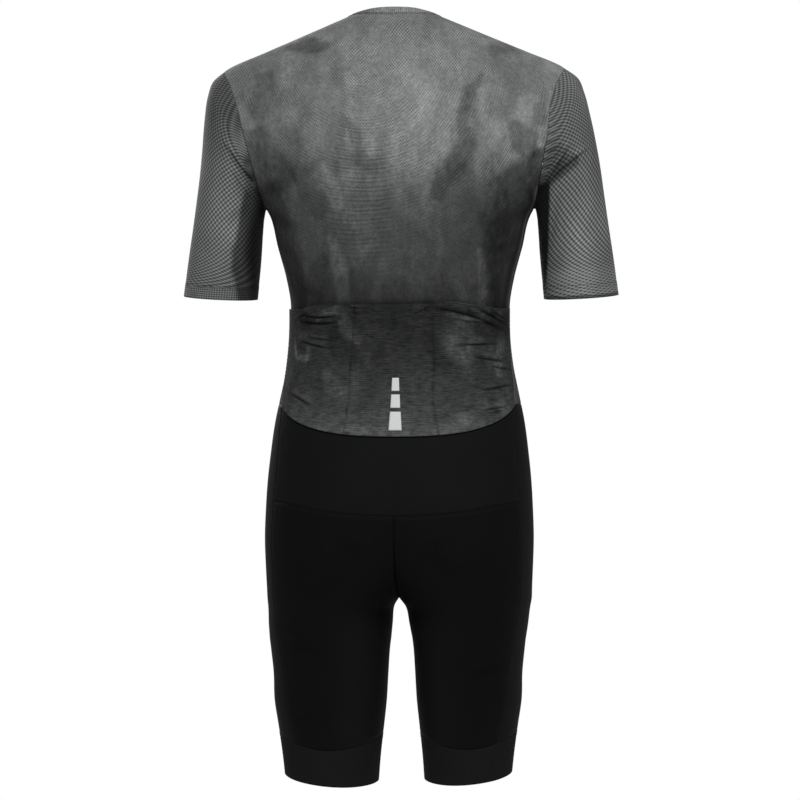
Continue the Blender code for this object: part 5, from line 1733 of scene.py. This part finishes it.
@dataclass
class Sleeves:
    """Two sleeves of relief mesh, each in one piece with a turned hem."""

    mesh: Material
    seams: Stitching
    hem: float = 0.0150
    hem_proud: float = 0.0003
    bend_reach: float = 0.060  # how far from the middle of the arm the rows go on bending
    mesh_length: float = 0.34
    mesh_steps: int = 680
    fine_rows: int = 14
    # heights, and x of the edge between light and dark mesh at the left inner arm, and at the right
    left_shadow: Course = (
        (-0.345, 0.187), (-0.320, 0.190), (-0.290, 0.193), (-0.265, 0.189), (-0.240, 0.182), (-0.215, 0.173)
    )
    right_shadow: Course = ((-0.345, -0.1832), (-0.330, -0.1845), (-0.290, -0.1870), (-0.240, -0.1885))

    def build(self) -> None:
        """Makes both sleeves."""
        columns = len(SLEEVE_ANGLES) - 1
        finer = (FINER, self.fine_rows)
        left = Cloth.on("sleeve_left", Sleeve.point, Outline.sleeve, columns, SLEEVE_ROWS, finer, closed=True)
        right = left.mirrored("sleeve_right")
        self.finish(left, LEFT_MESH, LEFT_SLEEVE_FOLDS, LEFT_SLEEVE_SHADE_STROKES)
        self.finish(right, RIGHT_MESH, RIGHT_SLEEVE_FOLDS, RIGHT_SLEEVE_SHADE_STROKES)

    def finish(
        self, sleeve: Cloth, mesh: Sequence[Sequence[float]], lie: Sequence[Fold], patches: Sequence[Stroke]
    ) -> None:
        """Lays the mesh on a sleeve, folds and shades it, and turns its hem."""
        up, inward = self.measure(sleeve)
        self.lay_cells(sleeve, mesh, up, inward)
        sleeve.fold(lie).lift(self.hem_proud * (1 - step(self.hem - 0.001, self.hem + 0.002, up)))
        self.shade(sleeve, up, inward, patches)
        sleeve.sink_edges("high").build(self.mesh, "sleeve_mesh", ["back_panel_cloth"])
        count = up.shape[1]
        rows = np.array([np.interp(self.hem, up[:, c], np.arange(len(up))) for c in range(count)])
        self.seams.sew(sleeve.line(np.arange(count), rows), Stitch.TWIN)

    @staticmethod
    def measure(sleeve: Cloth) -> Pair:
        """How far each point is up from the hem, and from the middle of the arm towards the body."""
        girth = run(sleeve.points[..., :2], 1)
        pit = girth.shape[1] // 2
        before = np.arange(girth.shape[1]) < pit
        off_pit = abs(girth - girth[:, [pit]])
        share = off_pit / np.where(before, girth[:, [pit]], girth[:, [-1]] - girth[:, [pit]])
        return run(sleeve.points, 0), (0.5 - share) * girth[:, [-1]] / 2

    def lay_cells(self, sleeve: Cloth, mesh: Sequence[Sequence[float]], up: Array, inward: Array) -> None:
        """Counts the mesh's cells along its bent rows and columns."""
        height, row_angle, row_size, column_angle, column_size = (np.array(mesh) / MESH_UNITS).T
        fine = np.linspace(0, self.mesh_length, self.mesh_steps)
        lines = []
        for angle, size in ((row_angle, row_size), (column_angle, column_size)):
            turned = np.radians(np.interp(fine, height, angle))
            spacing = np.interp(fine, height, size)
            climbs = (np.cos(turned) / spacing)[1:] * np.diff(fine)
            lines.append((np.pad(climbs.cumsum(), (1, 0)), np.sin(turned) / spacing))
        side = self.bend_reach * np.tanh(inward / self.bend_reach)
        count = [(np.interp(up, fine, rise), np.interp(up, fine, across) * side) for rise, across in lines]
        sleeve.pattern = np.stack((count[1][0] + count[1][1], count[0][0] - count[0][1]), axis=-1)

    def shade(self, sleeve: Cloth, up: Array, inward: Array, patches: Sequence[Stroke]) -> None:
        """Sets the lightness, the painted shade along the creases, the painted shadow on the inner arm, and
        where the mesh is open.
        """
        standing = stance(sleeve.points)
        x, z = standing[..., 0], standing[..., 2]
        wander = wander_at(standing, 0.05)
        # painted shade along the creases near the armpits, from the strokes
        stops = sum(stroke.stops_at(standing, sleeve.outward, 0.003 * wander) for stroke in patches)
        sleeve.tone = sleeve.tone * 0.21 * 2 ** (0.3 * wander + stops)
        if sleeve.name == "sleeve_left":
            off = x - read(self.left_shadow, z)
            lower, sleeve_head = 1 - step(-0.222, -0.200, z), step(-0.185, -0.115, z)
            shadow = 1 - step(-0.004, 0.003, off - 0.003 + 0.004 * wander)
            inner = 1 - step(-0.020, -0.006, off)
            sleeve.tone *= (1 - lower * (0.68 * shadow + 0.27 * inner)) * (1 - 0.42 * sleeve_head)
            ribbed = up < self.hem
            for axis, ribs in ((0, inward / 0.0031), (1, up / 0.0026)):
                sleeve.pattern[..., axis] = np.where(ribbed, ribs, sleeve.pattern[..., axis])
            sleeve.tone *= np.where(ribbed, 0.75 + 0.30 * (1 - shadow), 1.0)
        else:
            dark = step(-0.0015, 0.0015, x - read(self.right_shadow, z) + 0.001 * wander)
            sleeve.tone *= 1 - 0.95 * dark * (1 - step(-0.212, -0.200, z))
            sleeve.wear = (1 - step(0.028, 0.044, up)) * np.ones(x.shape)
            sleeve.tone *= np.where(up < 0.0045, 0.35, 1.0)
        sleeve.tone *= 1 + 0.35 * hump(z + 0.262, 0.055) * hump(inward, 0.030)


@dataclass
class CollarBand:
    """The low ribbed collar, open at the zip."""

    rib: Material
    seams: Stitching
    # shares round the neck, and the collar's height there in millimetres
    heights: Course = (
        (-1, 10.5), (-0.8, 10.5), (-0.3, 7.4), (0, 4.6), (0.2, 4.2), (0.35, 4.6), (0.5, 5.6), (0.7, 8.4),
        (0.85, 9.9), (1, 10.4), (1.2, 9.8), (1.35, 8.6), (1.5, 6.4), (1.65, 5.2), (1.8, 4.4), (2, 4.6),
        (2.3, 7.4), (2.8, 10.5), (3, 10.5),
    )

    def outline(self, column: Array, row: Array) -> Pair:
        """The collar's columns and rows, lower over the shoulders than behind and at the zip."""
        share, height = Outline.collar(column, row)
        return share, height * read(self.heights, share) / PER_METRE / COLLAR_HEIGHT

    def build(self) -> None:
        """Makes the collar."""
        columns = 2 * (FRONT_COLUMNS + HALF_BACK_COLUMNS)
        band = Cloth.on("collar", Collar.point, self.outline, columns, 2)
        x = stance(band.points)[..., 0]
        # painted shade darkens the collar towards the sides of the neck, where it turns away
        band.tone = 0.21 - 0.05 * (1 - step(-0.062, -0.042, x)) - 0.08 * step(0.014, 0.034, x)
        band.sink_edges("low", 0.0006)
        band.build(self.rib, "collar_rib", ["back_panel_cloth"])
        self.seams.sew(band.line(np.arange(columns * FINER + 1), 2.0), Stitch.SINGLE)


@dataclass
class Shorts:
    """The seat yoke, each leg's three panels, and its elastic band."""

    lycra: Material
    elastic: Material
    seams: Stitching

    def build(self) -> None:
        """Makes the panels of both legs."""
        yoke = Cloth.on("seat_yoke", Body.point, Outline.yoke, 2 * HALF_BACK_COLUMNS, YOKE_ROW)
        # painted sheen: the seat yoke is made lighter than the panels below it
        yoke.tone = yoke.tone * 1.25
        yoke.sink_edges(depth=0.0002).build(self.lycra, "short_lycra", ["back_panel_cloth"])
        columns, rows = (np.arange(size) for size in yoke.points.shape[1::-1])
        self.seams.sew(yoke.line(columns, 0), Stitch.TWIN, -0.0022)
        self.seams.sew(yoke.line(columns, rows[-1]), Stitch.TWIN, 0.0024)
        back = FRONT_COLUMNS + SIDE_COLUMNS
        for name, first, count, top, bottom, tone in (
            ("short_front", 0, FRONT_COLUMNS, 0, BAND_ROW, 1.05),
            ("short_side", FRONT_COLUMNS, SIDE_COLUMNS, 0, BAND_ROW, 1.3),
            ("short_back", back, HALF_BACK_COLUMNS, YOKE_ROW, BAND_ROW, 0.85),
        ):
            left = Cloth.on(name + "_left", Body.point, Outline.leg(first, bottom), count, bottom - top)
            # painted light on the inner thighs, against the shade between the legs
            left.tone = left.tone * tone * (1 + 0.7 * self.painted_inner_thigh_light(left))
            for panel in (left, left.mirrored(name + "_right")):
                panel.fold(SHORTS_FOLDS)
                sides = {"short_back_left": "left", "short_back_right": "right"}.get(panel.name, "left right")
                panel.sink_edges(sides + " low high", 0.00015)
                panel.build(self.lycra, "short_lycra", ["seat_yoke_cloth"])
                if name == "short_side":
                    up = np.arange(panel.points.shape[0])
                    self.seams.sew(panel.line(0, up), Stitch.TWIN, 0.0022)
                    self.seams.sew(panel.line(count * FINER, up), Stitch.TWIN, -0.0022)
        self.build_bands()

    @staticmethod
    def painted_inner_thigh_light(panel: Cloth) -> Array:
        """How much each point of a left leg is on the thigh's inner side, where painted light lifts the shade
        between the legs, from 0 to 1.
        """
        return step(-0.1, 1.0, -panel.outward[..., 0]) * (1 - step(-0.76, -0.70, panel.points[..., 2]))

    def build_bands(self) -> None:
        """Makes the elastic bands."""
        kinds = {"wall": BAND_WALL, "closed": True}
        outline = Outline.leg(0, HEM_ROW)
        left = Cloth.on("leg_band_left", Body.point, outline, LEG_COLUMNS, HEM_ROW - BAND_ROW, **kinds)
        for band, side in ((left, "left"), (left.mirrored("leg_band_right"), "right")):
            band.build(self.elastic, "leg_elastic", [f"short_back_{side}_cloth"])
            columns = np.arange(band.points.shape[1])
            self.seams.sew(band.line(columns, band.points.shape[0] - 2), Stitch.TWIN)


@dataclass
class Zip:
    """The closed zip: tapes, two rows of teeth, the slider and its pull."""

    tape: Material
    plastic: Material
    metal: Material
    pitch: float = 0.0016
    tooth: tuple[float, float] = (0.0026, 0.0011)  # how wide and how thick a tooth is
    tooth_fill: float = 0.62  # its length, as a share of the pitch
    tooth_edge: float = 0.00018
    tooth_proud: float = 0.0003
    interlock: float = 0.0007  # how far each row's teeth are from the middle
    tape_wall: float = 0.0009
    tape_proud: float = 0.0001
    worn_edge: float = 0.00015

    def build(self) -> None:
        """Makes the tapes and teeth, and dresses the slider and the pull."""
        line = self.middle_line()
        self.build_tape(line)
        self.build_teeth(line)
        for node, body in (("zip_slider", SUIT_BODY), ("zip_pull", PULL_BODY)):
            self.dress(node, body)

    def middle_line(self) -> Line:
        """The zip's middle, up the chest and the collar."""
        neck_z = float(Body.neck_edge(np.array(-1.0))[1])
        z = np.linspace(WAIST_FRONT_Z, neck_z, 160)
        chest = Body.point(np.full(z.shape, -1.0), z)
        chest[:, 0] = 0.0
        up = np.linspace(0, COLLAR_HEIGHT, 6)[1:, None]
        lean = np.array((0.0, math.sin(COLLAR_LEAN_FRONT), math.cos(COLLAR_LEAN_FRONT)))
        points = np.concatenate((chest, chest[-1] + up * lean))
        outward = unit(np.cross((1.0, 0.0, 0.0), np.gradient(points, axis=0)))
        return Line(stance(points), outward)

    def build_tape(self, line: Line) -> None:
        """The woven tape that the teeth are on."""
        places, _, out = line.at(np.linspace(0, line.length(), 200))
        across = np.linspace(-ZIP_WIDTH / 2, ZIP_WIDTH / 2, 9)
        grid = places[:, None] + out[:, None] * self.tape_proud + across[None, :, None] * (1.0, 0.0, 0.0)
        made = new_object("zip_tape", grid_shape(grid, grid[..., [0, 2]].reshape(-1, 2)), self.tape)
        add_wall(made, self.tape_wall)
        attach(made, SUIT_BODY)
        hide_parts("zip_chain")

    def build_teeth(self, line: Line) -> None:
        """Two rows of moulded teeth, which lock into each other."""
        tooth = bmesh.new()
        width, thickness = self.tooth
        size = Matrix.Diagonal((width, self.pitch * self.tooth_fill, thickness, 1))
        bmesh.ops.create_cube(tooth, size=1, matrix=size)
        edges = {"geom": tooth.edges[:], "offset": self.tooth_edge, "affect": "EDGES"}
        bmesh.ops.bevel(tooth, segments=1, profile=0.5, material=-1, **edges)
        seats = []
        middles = line.middles(int(line.length() / self.pitch))
        for i, (place, along, out) in enumerate(zip(*line.at(middles))):
            aside = np.array((self.interlock if i % 2 else -self.interlock, 0, 0))
            seats.append(seat((1, 0, 0), along, out, place + out * self.tooth_proud + aside))
        made = repeated("zip_teeth", tooth, seats, self.plastic)
        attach(made, SUIT_BODY)

    def dress(self, node: str, body: str) -> None:
        """Gives a metal part its finish and soft edges."""
        shape = bmesh.new()
        shape.from_mesh(bpy.data.objects[node].data)
        bmesh.ops.remove_doubles(shape, verts=shape.verts[:], dist=SAME_PLACE)
        bmesh.ops.dissolve_limit(shape, angle_limit=0.02, verts=shape.verts[:], edges=shape.edges[:])
        made = new_object(node + "_metal", shape, self.metal)
        made.data.set_sharp_from_angle(angle=math.radians(40))
        edges = made.modifiers.new("edges", "BEVEL")
        edges.width, edges.segments, edges.limit_method = self.worn_edge, 2, "ANGLE"
        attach(made, body)
        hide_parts(node)


# ---------------- the picture
@dataclass(frozen=True)
class Studio:
    """A white room with a pale floor, where the wearer would stand, and the photographer's camera."""

    target: Place = (-0.0058, 0.0, -0.4677)
    distance: float = 2.6
    azimuth: float = math.radians(3.5)
    half_height: float = 0.49104
    floor_z: float = -1.45
    floor_radius: float = 1.2
    ambient: float = 0.45
    # each lamp's name, place, size and watts
    lamps: tuple[tuple[str, Place, float, float], ...] = (
        ("key", (-0.5, 2.3, 1.5), 1.3, 52.0),
        ("fill", (1.2, -2.2, 0.8), 1.6, 48.0),
    )

    def build(self) -> None:
        """Makes the floor, the lights and the camera."""
        self.add_floor()
        self.add_world()
        for lamp in self.lamps:
            self.add_lamp(*lamp)
        self.add_camera()
        bpy.context.scene.view_settings.view_transform = "Standard"

    def add_floor(self) -> None:
        """A plain pale disc."""
        shape = bmesh.new()
        bmesh.ops.create_circle(shape, cap_ends=True, segments=96, radius=self.floor_radius)
        bmesh.ops.translate(shape, verts=shape.verts[:], vec=(0, 0, self.floor_z))
        tree = Tree("floor_paper")
        shade = tree.cloud(0.4) * 0.03 + 0.82
        new_object("floor", shape, tree.surface(shade, PAPER_TINT, 0.7, 0.5))

    def add_world(self) -> None:
        """An even sky, white to the camera and dimmer on the cloth."""
        world = bpy.data.worlds.new("studio")
        world.use_nodes = True
        nodes, links = world.node_tree.nodes, world.node_tree.links
        sky = nodes["Background"]
        seen = nodes.new("ShaderNodeMapRange")
        seen.inputs["To Min"].default_value = self.ambient
        links.new(nodes.new("ShaderNodeLightPath").outputs["Is Camera Ray"], seen.inputs["Value"])
        links.new(seen.outputs["Result"], sky.inputs["Strength"])
        sky.inputs["Color"].default_value = (1, 1, 1, 1)
        bpy.context.scene.world = world

    def add_lamp(self, name: str, place: Place, size: float, watts: float) -> None:
        """A soft square lamp that faces the middle of the suit."""
        data = bpy.data.lights.new(name, "AREA")
        data.size, data.energy = size, watts
        lamp = in_scene(name, data)
        lamp.location = place
        lamp.rotation_euler = (Vector(self.target) - Vector(place)).to_track_quat("-Z", "Y").to_euler()

    def add_camera(self) -> None:
        """The camera, behind the suit."""
        data = bpy.data.cameras.new("camera")
        data.sensor_fit = "VERTICAL"
        data.angle = 2 * math.atan(self.half_height / self.distance)
        camera = in_scene("camera", data)
        back = Vector((-math.sin(self.azimuth), math.cos(self.azimuth), 0))
        camera.location = Vector(self.target) + back * self.distance
        camera.rotation_euler = (-back).to_track_quat("-Z", "Y").to_euler()
        bpy.context.scene.camera = camera


def main() -> None:
    """Builds the suit and the picture."""
    logging.basicConfig(level=logging.INFO)
    knit = PrintedKnit().material()
    side_knit = BlackKnit("side_knit", 1.0, 0.75, 0.05, 0.0024, 0.45).material()
    lycra = BlackKnit("short_lycra", 0.0056, 0.55, 0.03).material()
    grey = Stitching("grey_stitching", Thread("grey_thread", 0.10).material(), "body_knit")
    black = Stitching("black_stitching", Thread("black_thread", 0.007).material(), "short_lycra")
    pale = Stitching("pale_stitching", Thread("pale_thread", 0.17).material(), "side_knit", 0.0026, 0.0008)
    dark = Stitching("dark_stitching", Thread("dark_thread", 0.045).material(), "collar_rib", 0.0024, 0.0007)
    Torso(knit, side_knit, grey, pale).build()
    pocket_rib = RibKnit("pocket_rib", 0.0026, False, 0.0003, 0.30, 0.8, 1.7).material()
    Pockets(pocket_rib, Reflective().material(), black, pale).build()
    Sleeves(SleeveMesh().material(), black).build()
    CollarBand(RibKnit("collar_rib", 0.0024, True, 0.0003, 0.5, 0.3, 1.6).material(), dark).build()
    Shorts(lycra, Elastic().material(), black).build()
    tape = BlackKnit("zip_tape", 0.012, 0.8, 0.08).material()
    plastic = Hard("zip_teeth", 0.010, 0.45, 0.0).material()
    Zip(tape, plastic, Hard("zip_metal", 0.12, 0.38, 1.0).material()).build()
    for threads in (grey, black, pale, dark):
        threads.build()
    Studio().build()


if __name__ == "__main__":
    main()
